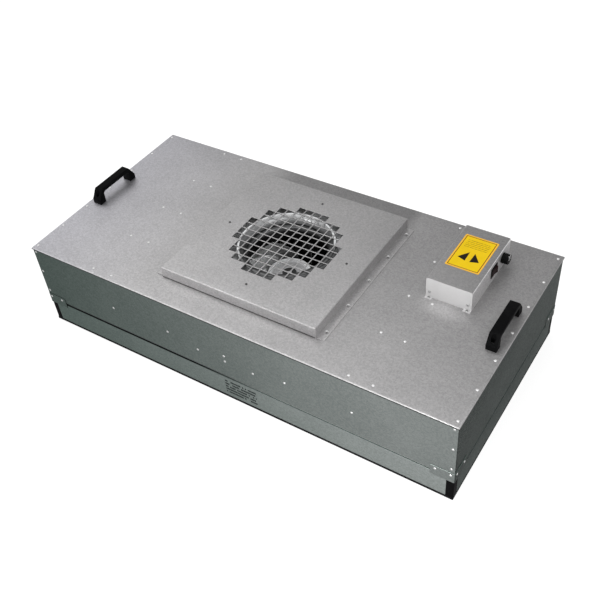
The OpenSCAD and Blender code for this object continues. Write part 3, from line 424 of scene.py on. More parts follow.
def zinc(name, seed=0.0, far=None, wall_light_and_shade=None, shade=None, ledge_light=None, reflected_patch=None, bands=()):
    """Galvanised sheet: zinc grains over fine speckle and slow clouds, on a slightly wavy
    sheet. far is the share of its tone left at the back right, a painted shade. Other
    arguments paint light and shade too: gains for faces towards the right and the front,
    an (x, gain) pair that lightens what lies to the right of x, a Shade with a painted
    cool reflection at the left end, which takes the place of the grains in the gloss, and
    a bright patch of painted reflection. bands holds a Band for each line on its upright faces."""
    look = looks("sheet_look")
    finish = Finish(name, Metallic=0.85)
    place = finish.place(centre=(seed, seed, seed))
    grain, speckle = zinc_grain(finish, place)
    shine = grain
    colour = finish.blend(grain, look.dark, look.light)
    where = finish.where()
    # Painted shade: darker towards the back right
    if far:
        reach = finish.plus(finish.times(where["X"], FAR_SLANT), where["Y"])
        colour = finish.scaled(colour, finish.span(reach, *FAR_REACH, 1, far))
    # Painted light and shade: faces towards the right and the front get their own gains
    if wall_light_and_shade:
        facing = finish.facing()
        colour = finish.scaled(colour, finish.span(facing["X"], 0.5, 0.8, 1, wall_light_and_shade[0]))
        colour = finish.scaled(colour, finish.span(facing["Y"], -0.8, -0.5, wall_light_and_shade[1], 1))
    if shade:
        behind = finish.span(where["Y"], shade.back - 2 * MM, shade.back + 5 * MM)
        from_left = finish.span(where["X"], shade.left, shade.left + 90 * MM)
        to_right = finish.span(where["X"], shade.right, shade.right + 25 * MM, 1, 0)
        shine = finish.times(behind, from_left, to_right)
        colour = finish.scaled(colour, finish.span(shine, 0, 1, 1, shade.gain))
        # Painted reflection: a cool tint at the left end
        colour = finish.tinted(colour, finish.span(where["X"], *COOL_REFLECTION_REACH, 1, 0), COOL_REFLECTION_TINT)
    # Painted light: the sheet to the right of x is lighter
    if ledge_light:
        start, gain = ledge_light
        colour = finish.scaled(colour, finish.span(where["X"], start, start + 1 * MM, 1, gain))
    # Painted reflection: a bright patch on the sheet
    if reflected_patch:
        colour = finish.scaled(colour, reflected_patch_gain(finish, reflected_patch))
    finish.paint(banded(finish, colour, where, bands, upright_only=True))
    coat(finish, place, shine, speckle)
    return finish


def side_zinc(name, seed, bands=(), marks=False, gain=1.0):
    """Duller, greener zinc of the sides: a painted shade of the top's zinc. Faces towards
    the front get paler to the right as painted light, those towards the right are darker
    as painted shade, and marks are small printed bars on the front."""
    look = looks("sheet_look")
    finish = Finish(name, Metallic=0.5, Specular_IOR_Level=0.12, Specular_Tint=(0.20, 0.26, 0.24, 1))
    place = finish.place(centre=(seed, seed, seed))
    grain, speckle = zinc_grain(finish, place)
    dull = finish.blend(grain, look.shaded_side_dull, look.shaded_side_pale)
    pale = finish.blend(grain, look.lit_front_dull, look.lit_front_pale)
    where = finish.where()
    facing = finish.facing()
    # Painted light: faces towards the front turn paler towards the right
    front = finish.span(facing["Y"], -0.8, -0.6, 1, 0)
    painted_light_ramp = finish.span(where["X"], *PAINTED_LIGHT_REACH)
    colour = finish.blend(finish.times(front, painted_light_ramp), dull, pale)
    # Painted shade: faces towards the right keep only 0.4 of the tone
    colour = finish.scaled(colour, finish.span(facing["X"], 0.6, 0.8, gain, 0.40 * gain))
    colour = banded(finish, colour, where, bands)
    if marks:
        colour = finish.blend(finish.times(printed_bars(finish, where), front), colour, PRINT_INK)
    finish.paint(colour)
    coat(finish, place, grain, speckle)
    return finish


def zinc_grain(finish, place):
    """0 to 1 from the darkest to the palest zinc, and the fine speckle in it."""
    size = looks("sheet_look").grain
    warp = finish.node("TexNoise")
    warp.inputs["Scale"].default_value = 0.4 / size
    finish.join(place, warp.inputs["Vector"])
    bend = finish.node("VectorMath", operation="MULTIPLY_ADD")
    bend.inputs[1].default_value = (size, size, size)
    finish.join(warp.outputs["Color"], bend.inputs[0])
    finish.join(place, bend.inputs[2])
    grain = finish.cells(bend.outputs["Vector"], 1 / size)
    speckle = finish.noise(place, 2.2 / size, 2, 0.7)
    cloud = finish.noise(place, 5, 4, 0.6)
    share = finish.plus(finish.times(grain, 0.26), finish.times(speckle, 0.6))
    share = finish.plus(share, finish.times(cloud, 0.4))
    return finish.span(share, 0.36, 0.90), speckle


def coat(finish, place, shine, speckle):
    """Gloss of the zinc, which rises with shine, and long shallow waves of thin sheet under
    the speckle of its coat."""
    look = looks("sheet_look")
    finish.rough(shine, look.roughness + 0.06, look.roughness - 0.08, 0, 1)
    wave = finish.plus(finish.noise(place, 4, 1), finish.times(speckle, 0.012))
    finish.bump(wave, 0.6, 4 * MM, look.edge)


def reflected_patch_gain(finish, reflected_patch):
    """Gain of a painted reflection: full in its middle, and 1 from its reach outwards."""
    scale = (1 / reflected_patch.reach[0], 1 / reflected_patch.reach[1], 0)
    away = finish.node("VectorMath", operation="LENGTH")
    finish.join(finish.place(scale=scale, centre=(*reflected_patch.middle, 0)), away.inputs[0])
    fade = finish.span(away.outputs["Value"], 0, 1, reflected_patch.gain, 1)
    fade.node.interpolation_type = "SMOOTHSTEP"
    return fade


def banded(finish, colour, where, bands, upright_only=False):
    """The colour with each band's gain on it, on upright faces only where asked."""
    for band in bands:
        off = finish.apart(where["Z"], band.height)
        inside = finish.span(off, 0.7 * band.half, 1.3 * band.half, 1, 0)
        if upright_only:
            inside = finish.times(inside, finish.below(finish.facing()["Z"], 0.5))
        gain = finish.span(where["X"], band.left[0], band.right[0], band.left[1], band.right[1])
        lost = finish.times(inside, finish.minus(1, gain))
        colour = finish.scaled(colour, finish.minus(1, lost))
    return colour


def printed_bars(finish, where):
    """Five rows of short bars of uneven length: 1 on a bar, 0 elsewhere. Each cell of the
    pitches is inked or left empty by chance, and a bar fills most of an inked cell."""
    column = finish.math("DIVIDE", where["X"], BAR_PITCH)
    row = finish.math("DIVIDE", where["Z"], ROW_PITCH)
    cell = finish.node("CombineXYZ")
    finish.join(finish.math("FLOOR", column), cell.inputs["X"])
    finish.join(finish.math("FLOOR", row), cell.inputs["Y"])
    chance = finish.node("TexWhiteNoise", noise_dimensions="2D")
    finish.join(cell.outputs["Vector"], chance.inputs["Vector"])
    inked = finish.above(chance.outputs["Value"], 0.14)
    wide = finish.below(finish.math("FRACT", column), 0.88)
    tall = finish.below(finish.math("FRACT", row), 0.6)
    field = finish.times(finish.between(where["X"], *PRINT_X), finish.between(where["Z"], *PRINT_Z))
    return finish.times(inked, wide, tall, field)


def plain_metal(name, colour, roughness, metal=1.0, scratch=500.0):
    """Turned, pressed or plated metal: one colour, with fine marks in its gloss and relief."""
    finish = Finish(name, Metallic=metal)
    place = finish.place()
    marks = finish.noise(place, scratch, 3, 0.65)
    cloud = finish.noise(place, 24, 3)
    deep = tuple(0.82 * c for c in colour)
    finish.paint(finish.blend(finish.span(cloud, 0.35, 0.65), deep, colour))
    finish.worn(marks, roughness)
    finish.bump(marks, 0.15, 0.3 * MM)
    return finish


def fastener(name, above, beside, slope=0.35):
    """Head of a rivet or bolt, in two greys of painted light and shade: above where it looks
    up, and beside where its normal rises no more than the slope."""
    finish = Finish(name, Metallic=0.6)
    worn = finish.noise(finish.place(), 900, 2)
    # Painted light on the faces that look up, and painted shade on the sides
    tone = finish.times(finish.span(finish.facing()["Z"], slope, (1 + slope) / 2, beside, above),
                        finish.span(worn, 0.3, 0.7, 0.85, 1))
    finish.paint(finish.blend(tone, BLACK, WHITE))
    finish.rough(worn, 0.26, 0.36)
    return finish


def moulded(name, colour, roughness, texture=900.0, relief=0.25, gloss=0.5):
    """Moulded plastic: an even colour with a fine spark texture and a little dust in its gloss."""
    finish = Finish(name, Specular_IOR_Level=gloss)
    place = finish.place()
    grain = finish.noise(place, texture, 2, 0.6)
    dust = finish.noise(place, 40, 4, 0.6)
    pale = tuple(min(1.0, 1.4 * c + 0.002) for c in colour)
    finish.paint(finish.blend(finish.span(dust, 0.45, 0.8), colour, pale))
    finish.worn(dust, roughness)
    finish.bump(grain, relief, 0.2 * MM, 0.6 * MM)
    return finish


def painted(name, colour, roughness=0.4):
    """Painted sheet: an even coat with a faint orange peel and light soiling."""
    finish = Finish(name)
    place = finish.place()
    peel = finish.noise(place, 600, 1)
    soil = finish.noise(place, 12, 4, 0.6)
    dull = tuple(0.90 * c for c in colour)
    finish.paint(finish.blend(finish.span(soil, 0.4, 0.75), colour, dull))
    finish.worn(soil, roughness)
    finish.bump(peel, 0.12, 0.2 * MM, 0.8 * MM)
    return finish


def porous(name, colour, pore):
    """Foam: open pores of width pore metres, with painted shade inside them."""
    finish = Finish(name, Roughness=0.95, Specular_IOR_Level=0.1)
    cell = finish.node("TexVoronoi", feature="DISTANCE_TO_EDGE")
    cell.inputs["Scale"].default_value = 1 / pore
    finish.join(finish.place(), cell.inputs["Vector"])
    wall = finish.span(cell.outputs["Distance"], 0.02, 0.35, 1, 0)
    # Painted shade inside the pores
    deep = tuple(0.35 * c for c in colour)
    finish.paint(finish.blend(wall, deep, colour))
    finish.bump(wall, 0.6, pore / 2)
    return finish


# ---------- operators ----------

class DressCasing(bpy.types.Operator):
    """Give the casing's sheets, channels, baffles, brackets and rivets their finishes"""

    bl_idname = "filter_unit.dress_casing"
    bl_label = "Casing"

    def execute(self, context):
        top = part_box("top_panel")[1][2]
        dress(self.top_zinc(top), "top_panel")
        # Painted shadow: a dark line on the side sheets just under the top sheet's lip
        under_lip_shadow = even_band(top - 6.2 * MM, 2.2 * MM, 0.04)
        seam = Band(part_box("front_panel")[0][2], 2.8 * MM, (-0.1, 0.03), (0.1, 0.9))
        dress(side_zinc("zinc_side", 3.7, bands=[under_lip_shadow, seam]), *[s + "_panel" for s in SIDES])
        dress(side_zinc("zinc_inside", 2.9), "cross_channel_left", "cross_channel_right",
              "baffle_left", "baffle_right")
        # Painted highlight: the top edge of the corner brackets turns brighter towards the right
        ridge_highlight = Band(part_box("corner_bracket_" + CORNERS[0])[1][2], 1.2 * MM, (0, 1), (0.3, 2.6))
        dress(side_zinc("zinc_bracket", 9.1, bands=[ridge_highlight]), *["corner_bracket_" + c for c in CORNERS])
        dress(fastener("rivet_steel", 0.92, 0.45), "pop_rivets")
        dress(porous("baffle_foam", (0.07, 0.07, 0.075), 3.5 * MM),
              "baffle_foam_left", "baffle_foam_right")
        return {"FINISHED"}

    def top_zinc(self, top):
        """Zinc with painted shade towards the back right, a painted shadow line under the lip of
        the sheet, a painted shade behind the cover and a painted reflection of the control
        box's white end plate on the sheet before it."""
        # Painted shadow: a dark line on the lower part of the sheet's lip
        lip_shadow = even_band(top - 4.4 * MM, 1.9 * MM, 0.03)
        low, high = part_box("box_base")
        middle = ((low[0] + high[0]) / 2 - 6 * MM, low[1] - 4 * MM)
        reflected_patch = ReflectedPatch(middle, (74 * MM, 52 * MM), 1.42)
        low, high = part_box("inlet_cover")
        shade = Shade(low[0], high[0] - 32 * MM, high[1], 0.78)
        return zinc("zinc_top", far=0.66, shade=shade, reflected_patch=reflected_patch, bands=[lip_shadow])


class DressInlet(bpy.types.Operator):
    """Give the inlet cover, its bolts, and the inlet ring with its posts their finishes"""

    bl_idname = "filter_unit.dress_inlet"
    bl_label = "Air inlet"

    def execute(self, context):
        dress(self.cover_zinc(), "inlet_cover")
        dress(fastener("bolt_zinc", 1.0, 0.03, slope=0.9), "cover_bolts")
        dress(plain_metal("screw_black", (0.10, 0.10, 0.10), 0.35, metal=0.8), "ring_screws")
        dress(self.spun_ring(), "inlet_ring")
        dress(plain_metal("post_steel", (0.30, 0.30, 0.30), 0.4), "ring_posts")
        return {"FINISHED"}

    def cover_zinc(self):
        """Zinc with a dark line along the foot of the front wall, painted shade towards the back
        right and on faces towards the front, and a right flange and faces towards the right
        made paler by painted light.
        """
        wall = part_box("inlet_cover")[1][0] - 20 * MM
        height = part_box("top_panel")[1][2] + 1.2 * MM
        foot = Band(height, 1.6 * MM, (wall - 4 * MM, 0.15), (wall - 2 * MM, 1))
        return zinc("zinc_cover", seed=5.3, far=0.77, wall_light_and_shade=(1.1, 0.8), ledge_light=(wall, 1.15), bands=[foot])

    def spun_ring(self):
        """Bright aluminium, spun in fine rings, with light and shade painted on: a thin shining
        line of painted highlight along the top of the rim, a duller flare in painted shade,
        darker towards the front right, with a painted dark and light ring below it, and a
        throat painted black as shade."""
        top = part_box("inlet_ring")[1][2]
        crest_r = 117.5 * MM
        skirt_r = 121 * MM
        finish = Finish("spun_aluminium", Metallic=0.4)
        where = finish.where()
        out = finish.from_axis()
        turned = finish.noise(finish.place(scale=(0.05, 0.05, 1)), 420, 3, 0.6)
        back_left = finish.minus(finish.times(where["Y"], 0.8), finish.times(where["X"], 0.6))
        # Painted shade: the flare darkens with depth and towards the front right, black in the throat
        bell_shading = finish.times(finish.span(where["Z"], top - 26 * MM, top - 4 * MM, 0.25, 0.5),
                            finish.span(where["Z"], top - 44 * MM, top - 32 * MM, 0.01, 1),
                            finish.span(back_left, 10 * MM, 90 * MM, 0.1, 1))
        # Painted shade and highlight: a dark ring and a light ring at two depths
        shade_ring, highlight_ring = (21 * MM, 3 * MM, 0.12), (31 * MM, 2.5 * MM, 2.4)
        for depth, half, gain in (shade_ring, highlight_ring):
            off = finish.apart(where["Z"], top - depth)
            bell_shading = finish.times(bell_shading, finish.span(off, 0.6 * half, half, gain, 1))
        # Painted highlight: a thin bright line along the top of the rim, fading towards the front right
        crest_highlight = finish.times(finish.span(finish.apart(out, crest_r), 2 * MM, 3.6 * MM, 1, 0),
                             finish.span(back_left, -45 * MM, -10 * MM, 0.12, 1),
                             finish.span(where["Z"], top - 3 * MM, top - 1 * MM))
        skirt = finish.span(out, skirt_r, skirt_r + 2 * MM)
        tone = finish.most(finish.most(bell_shading, crest_highlight), skirt)
        finish.paint(finish.scaled(finish.blend(turned, DULL_ALLOY, BRIGHT_ALLOY), tone))
        finish.rough(turned, 0.3, 0.38)
        finish.bump(turned, 0.03, 0.3 * MM)
        return finish


class DressFan(bpy.types.Operator):
    """Give the motor and the impeller their finishes"""

    bl_idname = "filter_unit.dress_fan"
    bl_label = "Fan"

    def execute(self, context):
        dress(side_zinc("zinc_support", 2.2), "motor_support")
        dress(self.blade_metal(), "impeller_blades")
        # Painted shade: the back plate and shroud are near black, for the shade inside the fan
        dress(plain_metal("impeller_steel", (0.05, 0.05, 0.052), 0.45, scratch=260),
              "impeller_back_plate", "impeller_shroud")
        dress(self.rotor_steel(), "rotor_can")
        dress(plain_metal("flange_alloy", (0.6, 0.61, 0.62), 0.42), "motor_flange")
        dress(plain_metal("shaft_steel", (0.95, 0.95, 0.96), 0.25, metal=0.7),
              "motor_shaft", "motor_bearings")
        dress(plain_metal("fan_screw", (0.6, 0.6, 0.6), 0.3), "motor_screws", "impeller_screws")
        dress(plain_metal("winding_copper", (0.5, 0.22, 0.1), 0.4, scratch=1500), "stator_core")
        return {"FINISHED"}

    def blade_metal(self):
        """Brushed aluminium, with painted light on the blades at the front left and painted
        shade, dull, on those at the right.
        """
        finish = Finish("impeller_aluminium", Metallic=0.1)
        where = finish.where()
        brushed = finish.noise(finish.place(scale=(1, 1, 6)), 260, 3, 0.6)
        # Painted light and shade: the tone is full at the front left and falls to the right
        side = finish.plus(where["X"], finish.times(where["Y"], 0.55))
        tone = finish.plus(finish.span(side, -75 * MM, -35 * MM, 1, 0.36),
                           finish.span(side, -25 * MM, 15 * MM, 0, -0.33))
        finish.paint(finish.scaled(finish.blend(brushed, DULL_ALLOY, (0.98, 0.98, 0.98)), tone))
        finish.rough(brushed, 0.34, 0.5)
        return finish

    def rotor_steel(self):
        """Steel can: a turned rim made bright by a painted highlight, a duller recess, a dark
        ring of painted shade round the hub, and its side wall painted near black as shade.
        """
        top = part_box("rotor_can")[1][2]
        hub_r = 17 * MM
        rim_r = 42 * MM
        finish = Finish("rotor_steel", Metallic=0.4)
        out = finish.from_axis()
        hub = finish.span(out, hub_r, hub_r + 2 * MM)
        rim = finish.span(out, rim_r, rim_r + 3 * MM)
        wall = finish.span(finish.where()["Z"], top - 9 * MM, top - 3 * MM)
        turned = finish.noise(finish.place(scale=(1, 1, 0.1)), 300, 3, 0.6)
        face = finish.blend(turned, (0.40, 0.40, 0.405), (0.64, 0.64, 0.65))
        # Painted shade at the hub and on the side wall, and a painted highlight on the rim
        face = finish.blend(hub, (0.04, 0.04, 0.04), face)
        face = finish.blend(rim, face, BRIGHT_ALLOY)
        finish.paint(finish.blend(wall, (0.03, 0.03, 0.032), face))
        finish.rough(turned, 0.26, 0.4)
        finish.bump(turned, 0.2, 0.3 * MM)
        return finish


class DressFilter(bpy.types.Operator):
    """Give the filter frame, its posts, gaskets, sealant and pleated media their finishes"""

    bl_idname = "filter_unit.dress_filter"
    bl_label = "Filter"

    def execute(self, context):
        low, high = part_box("filter_rail_front")
        seam = Band(high[2], 2.0 * MM, (-0.1, 0.05), (0.1, 0.9))
        foot = even_band(low[2], 1.8 * MM, 0.15)
        dress(side_zinc("zinc_rail", 7.9, bands=[seam, foot], marks=True, gain=1.28),
              *["filter_rail_" + s for s in SIDES])
        dress(moulded("post_plastic", looks("plastic_look").black, 0.55, gloss=0.01),
              *["corner_post_" + c for c in CORNERS])
        dress(porous("gasket_rubber", RUBBER, 1.2 * MM), "bottom_gasket")
        dress(self.seam_strip(), "seam_gasket")
        dress(moulded("sealant_resin", (0.62, 0.60, 0.54), 0.45, texture=60, relief=0.4),
              "filter_sealant")
        dress(self.paper(), "filter_media")
        return {"FINISHED"}

    def seam_strip(self):
        """Foam strip: black at the left, paler to the right along the front."""
        finish = Finish("seam_foam", Roughness=0.85)
        where = finish.where()
        pore = finish.cells(finish.place(), 800)
        pale = finish.times(finish.span(where["X"], -0.05, 0.15),
                            finish.below(where["Y"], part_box("seam_gasket")[0][1] + 12 * MM),
                            finish.span(pore, 0.0, 0.6, 0.7, 1))
        finish.paint(finish.blend(pale, RUBBER, (0.26, 0.28, 0.27)))
        finish.bump(pore, 0.3, 0.4 * MM)
        return finish

    def paper(self):
        """Glass fibre paper: off white, matt, with crossed fibres in its relief."""
        finish = Finish("filter_paper", Roughness=0.92)
        along = finish.noise(finish.place(scale=(1, 0.08, 1)), 900, 2, 0.6)
        across = finish.noise(finish.place(scale=(0.08, 1, 1)), 900, 2, 0.6)
        fibres = finish.most(along, across)
        share = finish.span(fibres, 0.4, 0.75)
        finish.paint(finish.blend(share, (0.80, 0.80, 0.77), (0.70, 0.70, 0.66)))
        finish.bump(fibres, 0.3, 0.3 * MM)
        return finish


class DressControlBox(bpy.types.Operator):
    """Give the control box, its label, switch, knob and power inlet their finishes"""

    bl_idname = "filter_unit.dress_control_box"
    bl_label = "Control box"

    def execute(self, context):
        plastic = looks("plastic_look")
        # Painted shade towards the back right, and painted light on faces towards the right
        dress(zinc("zinc_box", seed=1.4, far=0.64, wall_light_and_shade=(2.3, 1)), "box_cover")
        dress(painted("box_white", (0.53, 0.525, 0.525)), "box_base")
        dress(plain_metal("box_screw", (0.5, 0.5, 0.5), 0.3), "box_screws", "inlet_pins")
        dress(moulded("switch_black", plastic.black, 0.28, gloss=0.14), "switch_body", "power_inlet")
        dress(moulded("rocker_red", plastic.rocker, 0.22, texture=400, relief=0.1, gloss=0.1),
              "switch_rocker")
        dress(self.knob_with_painted_glints(), "speed_knob")
        dress(plain_metal("knob_brass", (0.7, 0.55, 0.3), 0.3), "knob_shaft")
        dress(plain_metal("speed_control_steel", (0.5, 0.5, 0.5), 0.35), "speed_control")
        dress(moulded("capacitor_white", (0.6, 0.6, 0.58), 0.4), "run_capacitor")
        dress(self.label(), "label_plate")
        return {"FINISHED"}

    def knob_with_painted_glints(self):
        """Glossy black knob with two white lines painted on the upper half of its face as
        highlights.
        """
        finish = Finish("knob_black", Roughness=0.2, Specular_IOR_Level=0.05)
        low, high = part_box("speed_knob")
        where = finish.where(centre=(low + high) / 2)
        aside = finish.math("ABSOLUTE", where["Y"])
        # Painted highlights: two white lines on the face
        line = finish.times(finish.below(finish.apart(aside, 3.2 * MM), 1.1 * MM),
                            finish.above(where["Z"], -1 * MM),
                            finish.above(finish.facing()["X"], 0.7))
        scuff = finish.noise(finish.place(), 300, 3)
        black = finish.blend(scuff, (0.002, 0.002, 0.002), (0.006, 0.006, 0.006))
        finish.paint(finish.blend(line, black, (0.85, 0.85, 0.85)))
        finish.bump(scuff, 0.1, 0.2 * MM, 0.6 * MM)
        return finish

    def label(self):
        """Yellow label: an orange rim, a thin dark border, two dark wedges and ruled lines."""
        plastic = looks("plastic_look")
        low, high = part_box("label_plate")
        centre = (low + high) / 2
        half = (high - low) / 2
        finish = Finish("label_yellow", Roughness=0.32, Specular_IOR_Level=0.2)
        place = finish.place(centre=centre)
        where = finish.split(place)
        across = finish.math("ABSOLUTE", where["X"])
        along = finish.math("ABSOLUTE", where["Y"])
        to_edge = finish.math("MINIMUM", finish.minus(half.x, across), finish.minus(half.y, along))
        rim = finish.below(to_edge, 3.8 * MM)
        border = finish.minus(finish.below(to_edge, 5.5 * MM), rim)
        ink = finish.most(self.wedges(finish, across, where["Y"]),
                          self.ruled_lines(finish, across, where["Y"], centre))
        fade = finish.span(finish.noise(place, 30, 3), 0.3, 0.7)
        ground = finish.blend(fade, plastic.label, [0.92 * c for c in plastic.label])
        ground = finish.blend(rim, ground, (0.78, 0.44, 0.04))
        ground = finish.blend(border, ground, (0.10, 0.018, 0.004))
        finish.paint(finish.blend(ink, ground, plastic.ink))
        finish.bump(finish.noise(place, 500, 2), 0.1, 0.2 * MM)
        return finish

    def wedges(self, finish, across, up):
        """Two wedges, each open downwards from an apex beside the middle and leaning out:
        1 on a wedge, 0 elsewhere. Each is a cone of half width 0.36 of the reach from its apex."""
        sine, cosine = 0.307, 0.952
        aside = finish.minus(across, 6.5 * MM)
        down = finish.minus(2.4 * MM, up)
        reach = finish.plus(finish.times(aside, sine), finish.times(down, cosine))
        off = finish.minus(finish.times(aside, cosine), finish.times(down, sine))
        return finish.times(finish.below(finish.math("ABSOLUTE", off), finish.times(reach, 0.36)),
                            finish.below(reach, 30 * MM))

    def ruled_lines(self, finish, across, up, centre):
        """Faint broken lines above the wedges: the share of ink in them."""
        rows = finish.math("PINGPONG", up, 3 * MM)
        gaps = finish.noise(finish.place(scale=(1, 0.3, 1), centre=centre), 260, 2)
        return finish.times(finish.below(rows, 0.9 * MM), finish.below(across, 28 * MM),
                            finish.between(up, 15 * MM, 43 * MM),
                            finish.span(gaps, 0.4, 0.5, 0.15, 0.6))


class DressHandles(bpy.types.Operator):
    """Give the two handles and their screws their finishes"""

    bl_idname = "filter_unit.dress_handles"
    bl_label = "Handles"

    def execute(self, context):
        dress(moulded("handle_plastic", looks("plastic_look").black, 0.5, gloss=0.03),
              "handle_left", "handle_right")
        soften(1.2 * MM, "handle_left", "handle_right")
        dress(plain_metal("handle_screw", (0.6, 0.6, 0.6), 0.3), "handle_screws")
        return {"FINISHED"}


class AddFace(bpy.types.Operator):
    """Build the expanded metal face under the filter"""

    bl_idname = "filter_unit.add_face"
    bl_label = "Face under the filter"

    def execute(self, context):
        look = looks("face_look")
        low, high = (np.array(corner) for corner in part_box("filter_guard"))
        strands = self.strands(low, high, look.margin, (look.cell_x, look.cell_y))
        border = self.border(low, high, look.margin)
        first, last = (np.vstack(ends) for ends in zip(strands, border))
        width = np.repeat((look.strand, look.margin), (len(strands[0]), len(border[0])))
        mesh = self.bars(first, last, width, (low[2], high[2]))
        piece = bpy.data.objects.new("expanded_metal_face", mesh)
        context.scene.collection.objects.link(piece)
        finish = painted("face_white", (0.78, 0.79, 0.80), 0.42)
        piece.data.materials.append(finish.material)
        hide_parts("filter_guard")
        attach(piece, "unit")
        return {"FINISHED"}

    def strands(self, low, high, margin, cell):
        """Start and end points of the strands of a diamond mesh.

        The cells form a grid of columns and rows inside the margin. Each cell has four
        strands, which run from the middle of each side to the middle of the next."""
        size = high[:2] - low[:2] - 2 * margin
        count = np.maximum(1, np.round(size / np.array(cell))).astype(int)
        step = size / count
        column, row = np.meshgrid(np.arange(count[0]), np.arange(count[1]), indexing="ij")
        number = np.stack([column, row], -1).reshape(-1, 1, 2)
        middle = low[:2] + margin + (number + 0.5) * step
        side = np.array([[0.5, 0], [0, 0.5], [-0.5, 0], [0, -0.5]]) * step
        first = (middle + side).reshape(-1, 2)
        last = (middle + np.roll(side, -1, axis=0)).reshape(-1, 2)
        return first, last

    def border(self, low, high, margin):
        """Start and end points of four flat bars round the mesh, meeting at butt joints."""
        half = margin / 2
        first = [[low[0], low[1] + half], [low[0], high[1] - half],
                 [low[0] + half, low[1] + margin], [high[0] - half, low[1] + margin]]
        last = [[high[0], low[1] + half], [high[0], high[1] - half],
                [low[0] + half, high[1] - margin], [high[0] - half, high[1] - margin]]
        return np.array(first), np.array(last)

    def bars(self, first, last, width, heights):
        """A mesh of straight bars: the line from each first point to its last is moved half
        its width to either side, stands from one height to the other, and is closed at
        both ends."""
        along = last - first
        along /= np.linalg.norm(along, axis=1, keepdims=True)
        aside = np.stack([-along[:, 1], along[:, 0]], -1) * width[:, None] / 2
        ring = np.stack([first + aside, first - aside, last - aside, last + aside], 1)
        levels = [np.concatenate([ring, np.full((*ring.shape[:2], 1), height)], 2) for height in heights]
        points = np.concatenate(levels, 1).reshape(-1, 3)
        sides = [[i, (i + 1) % 4, (i + 1) % 4 + 4, i + 4] for i in range(4)]
        faces = np.array([[3, 2, 1, 0], [4, 5, 6, 7]] + sides)[:, ::-1]
        faces = (faces[None] + 8 * np.arange(len(ring))[:, None, None]).reshape(-1, 4)
        mesh = bpy.data.meshes.new("expanded_metal_face")
        mesh.from_pydata(points.tolist(), [], faces.tolist())
        mesh.validate()
        return mesh


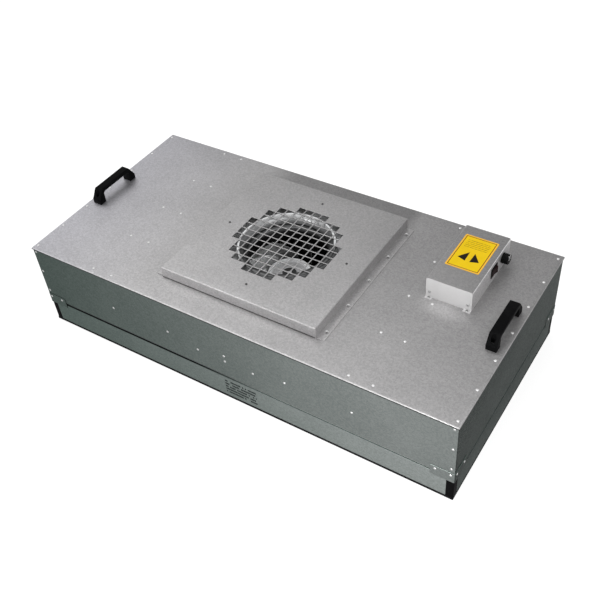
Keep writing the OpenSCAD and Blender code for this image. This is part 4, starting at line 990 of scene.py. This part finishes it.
class SetStage(bpy.types.Operator):
    """Add the floor, the lamps, the even light and the camera"""

    bl_idname = "filter_unit.set_stage"
    bl_label = "Stage"

    def execute(self, context):
        look = looks("stage_look")
        self.add_floor(context, look.floor)
        self.add_world(context, look.world, look.zenith)
        self.add_lamp(context, "SUN", "key_light", look.key, size=0.9, place=(-1.7, 0.3, 3.5))
        self.add_lamp(context, "SUN", "edge_light", look.rim, size=0.3, place=(-1.72, -2.76, 2.32))
        self.add_lamp(context, "AREA", "front_lamp", look.fill, size=0.3, place=(0.5, -1.3, 0.2),
                      aim=(0.4, -0.3, 0.12))
        self.add_lamp(context, "AREA", "right_lamp", look.right, size=1.3, place=(1.1, -0.5, 1.35),
                      aim=(0.15, 0, 0.25))
        self.add_camera(context, look)
        context.scene.view_settings.view_transform = "Standard"
        return {"FINISHED"}

    def seen_ray(self, tree):
        """1 for rays that show the background: straight from the camera, mirrored or through glass."""
        path = tree.nodes.new("ShaderNodeLightPath")
        total = path.outputs["Is Camera Ray"]
        for kind in ("Is Glossy Ray", "Is Transmission Ray"):
            add = tree.nodes.new("ShaderNodeMath")
            add.operation = "MAXIMUM"
            tree.links.new(total, add.inputs[0])
            tree.links.new(path.outputs[kind], add.inputs[1])
            total = add.outputs["Value"]
        return total

    def add_floor(self, context, size):
        """A pale matt floor; what the camera sees of it is lifted to white outside shadows."""
        grey = (0.35, 0.35, 0.35, 1)
        lift = 0.78
        half = size / 2
        corners = [(-half, -half, 0), (half, -half, 0), (half, half, 0), (-half, half, 0)]
        mesh = bpy.data.meshes.new("floor")
        mesh.from_pydata(corners, [], [(0, 1, 2, 3)])
        floor = bpy.data.objects.new("floor", mesh)
        context.scene.collection.objects.link(floor)
        finish = Finish("floor_pale", Base_Color=grey, Roughness=1.0, Specular_IOR_Level=0,
                        Emission_Color=(*WHITE, 1))
        glow = finish.times(self.seen_ray(finish.tree), lift)
        finish.join(glow, finish.shader.inputs["Emission Strength"])
        mesh.materials.append(finish.material)

    def add_world(self, context, strength, zenith):
        """Even grey light on the object. The backdrop itself is white at the horizon and
        below, and greyer overhead."""
        world = bpy.data.worlds.new("studio")
        context.scene.world = world
        world.use_nodes = True
        tree = world.node_tree
        background = tree.nodes["Background"]
        background.inputs["Color"].default_value = (*WHITE, 1)
        direction = tree.nodes.new("ShaderNodeTexCoord")
        split = tree.nodes.new("ShaderNodeSeparateXYZ")
        tree.links.new(direction.outputs["Generated"], split.inputs["Vector"])
        fall = tree.nodes.new("ShaderNodeMapRange")
        horizon, overhead = ("From Min", 0.05), ("From Max", 0.45)
        for socket, number in (horizon, overhead, ("To Min", 1.0), ("To Max", zenith)):
            fall.inputs[socket].default_value = number
        tree.links.new(split.outputs["Z"], fall.inputs["Value"])
        pick = tree.nodes.new("ShaderNodeMix")
        pick.inputs[2].default_value = strength
        tree.links.new(self.seen_ray(tree), pick.inputs[0])
        tree.links.new(fall.outputs["Result"], pick.inputs[3])
        tree.links.new(pick.outputs[0], background.inputs["Strength"])

    def add_lamp(self, context, kind, name, strength, size, place, aim=(0, 0, 0)):
        """A lamp at place, turned to aim. size is an angle for a sun and a diameter otherwise."""
        light = bpy.data.lights.new(name, kind)
        if kind == "SUN":
            light.angle = size
        else:
            light.shape = "DISK"
            light.size = size
        light.energy = strength
        lamp = bpy.data.objects.new(name, light)
        turn = (Vector(place) - Vector(aim)).to_track_quat("Z", "Y")
        lamp.matrix_world = Matrix.Translation(place) @ turn.to_matrix().to_4x4()
        context.scene.collection.objects.link(lamp)

    def add_camera(self, context, look):
        """The camera stands on a sphere about its target and is turned about its own axis."""
        level = math.cos(look.elevation)
        back = Vector((math.sin(look.azimuth) * level, -math.cos(look.azimuth) * level,
                       math.sin(look.elevation)))
        right = Vector((0, 0, 1)).cross(back).normalized()
        up = back.cross(right)
        c, s = math.cos(look.roll), math.sin(look.roll)
        axes = (right * c + up * s, up * c - right * s, back)
        place = Vector(look.target) + back * look.distance
        lens = bpy.data.cameras.new("camera")
        lens.lens = look.lens
        lens.sensor_width = 36
        lens.clip_end = 50
        camera = bpy.data.objects.new("camera", lens)
        camera.matrix_world = Matrix.Translation(place) @ Matrix(axes).transposed().to_4x4()
        context.scene.collection.objects.link(camera)
        context.scene.camera = camera


class FilterUnitPanel(bpy.types.Panel):
    """The pieces of the unit, in the sidebar"""

    bl_idname = "VIEW3D_PT_filter_unit"
    bl_label = "Filter unit"
    bl_space_type = "VIEW_3D"
    bl_region_type = "UI"
    bl_category = "Filter Unit"

    def draw(self, context):
        for operator in OPERATORS:
            self.layout.operator(operator.bl_idname)


GROUPS = {"sheet_look": SheetLook, "plastic_look": PlasticLook, "face_look": FaceLook,
          "stage_look": StageLook}
OPERATORS = (SetStage, DressCasing, DressInlet, DressFan, DressFilter, DressControlBox,
             DressHandles, AddFace)


def register():
    for made in (*GROUPS.values(), *OPERATORS, FilterUnitPanel):
        bpy.utils.register_class(made)
    for name, group in GROUPS.items():
        setattr(bpy.types.Scene, name, PointerProperty(type=group))


def unregister():
    for name in GROUPS:
        delattr(bpy.types.Scene, name)
    for made in reversed((*GROUPS.values(), *OPERATORS, FilterUnitPanel)):
        bpy.utils.unregister_class(made)


def corners(box):
    """The two corners of a box as plain lists of numbers."""
    return [[float(value) for value in corner] for corner in box]


def main():
    """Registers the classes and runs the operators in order."""
    register()
    for operator in OPERATORS:
        group, name = operator.bl_idname.split(".")
        getattr(getattr(bpy.ops, group), name)()


if __name__ == "__main__":
    main()
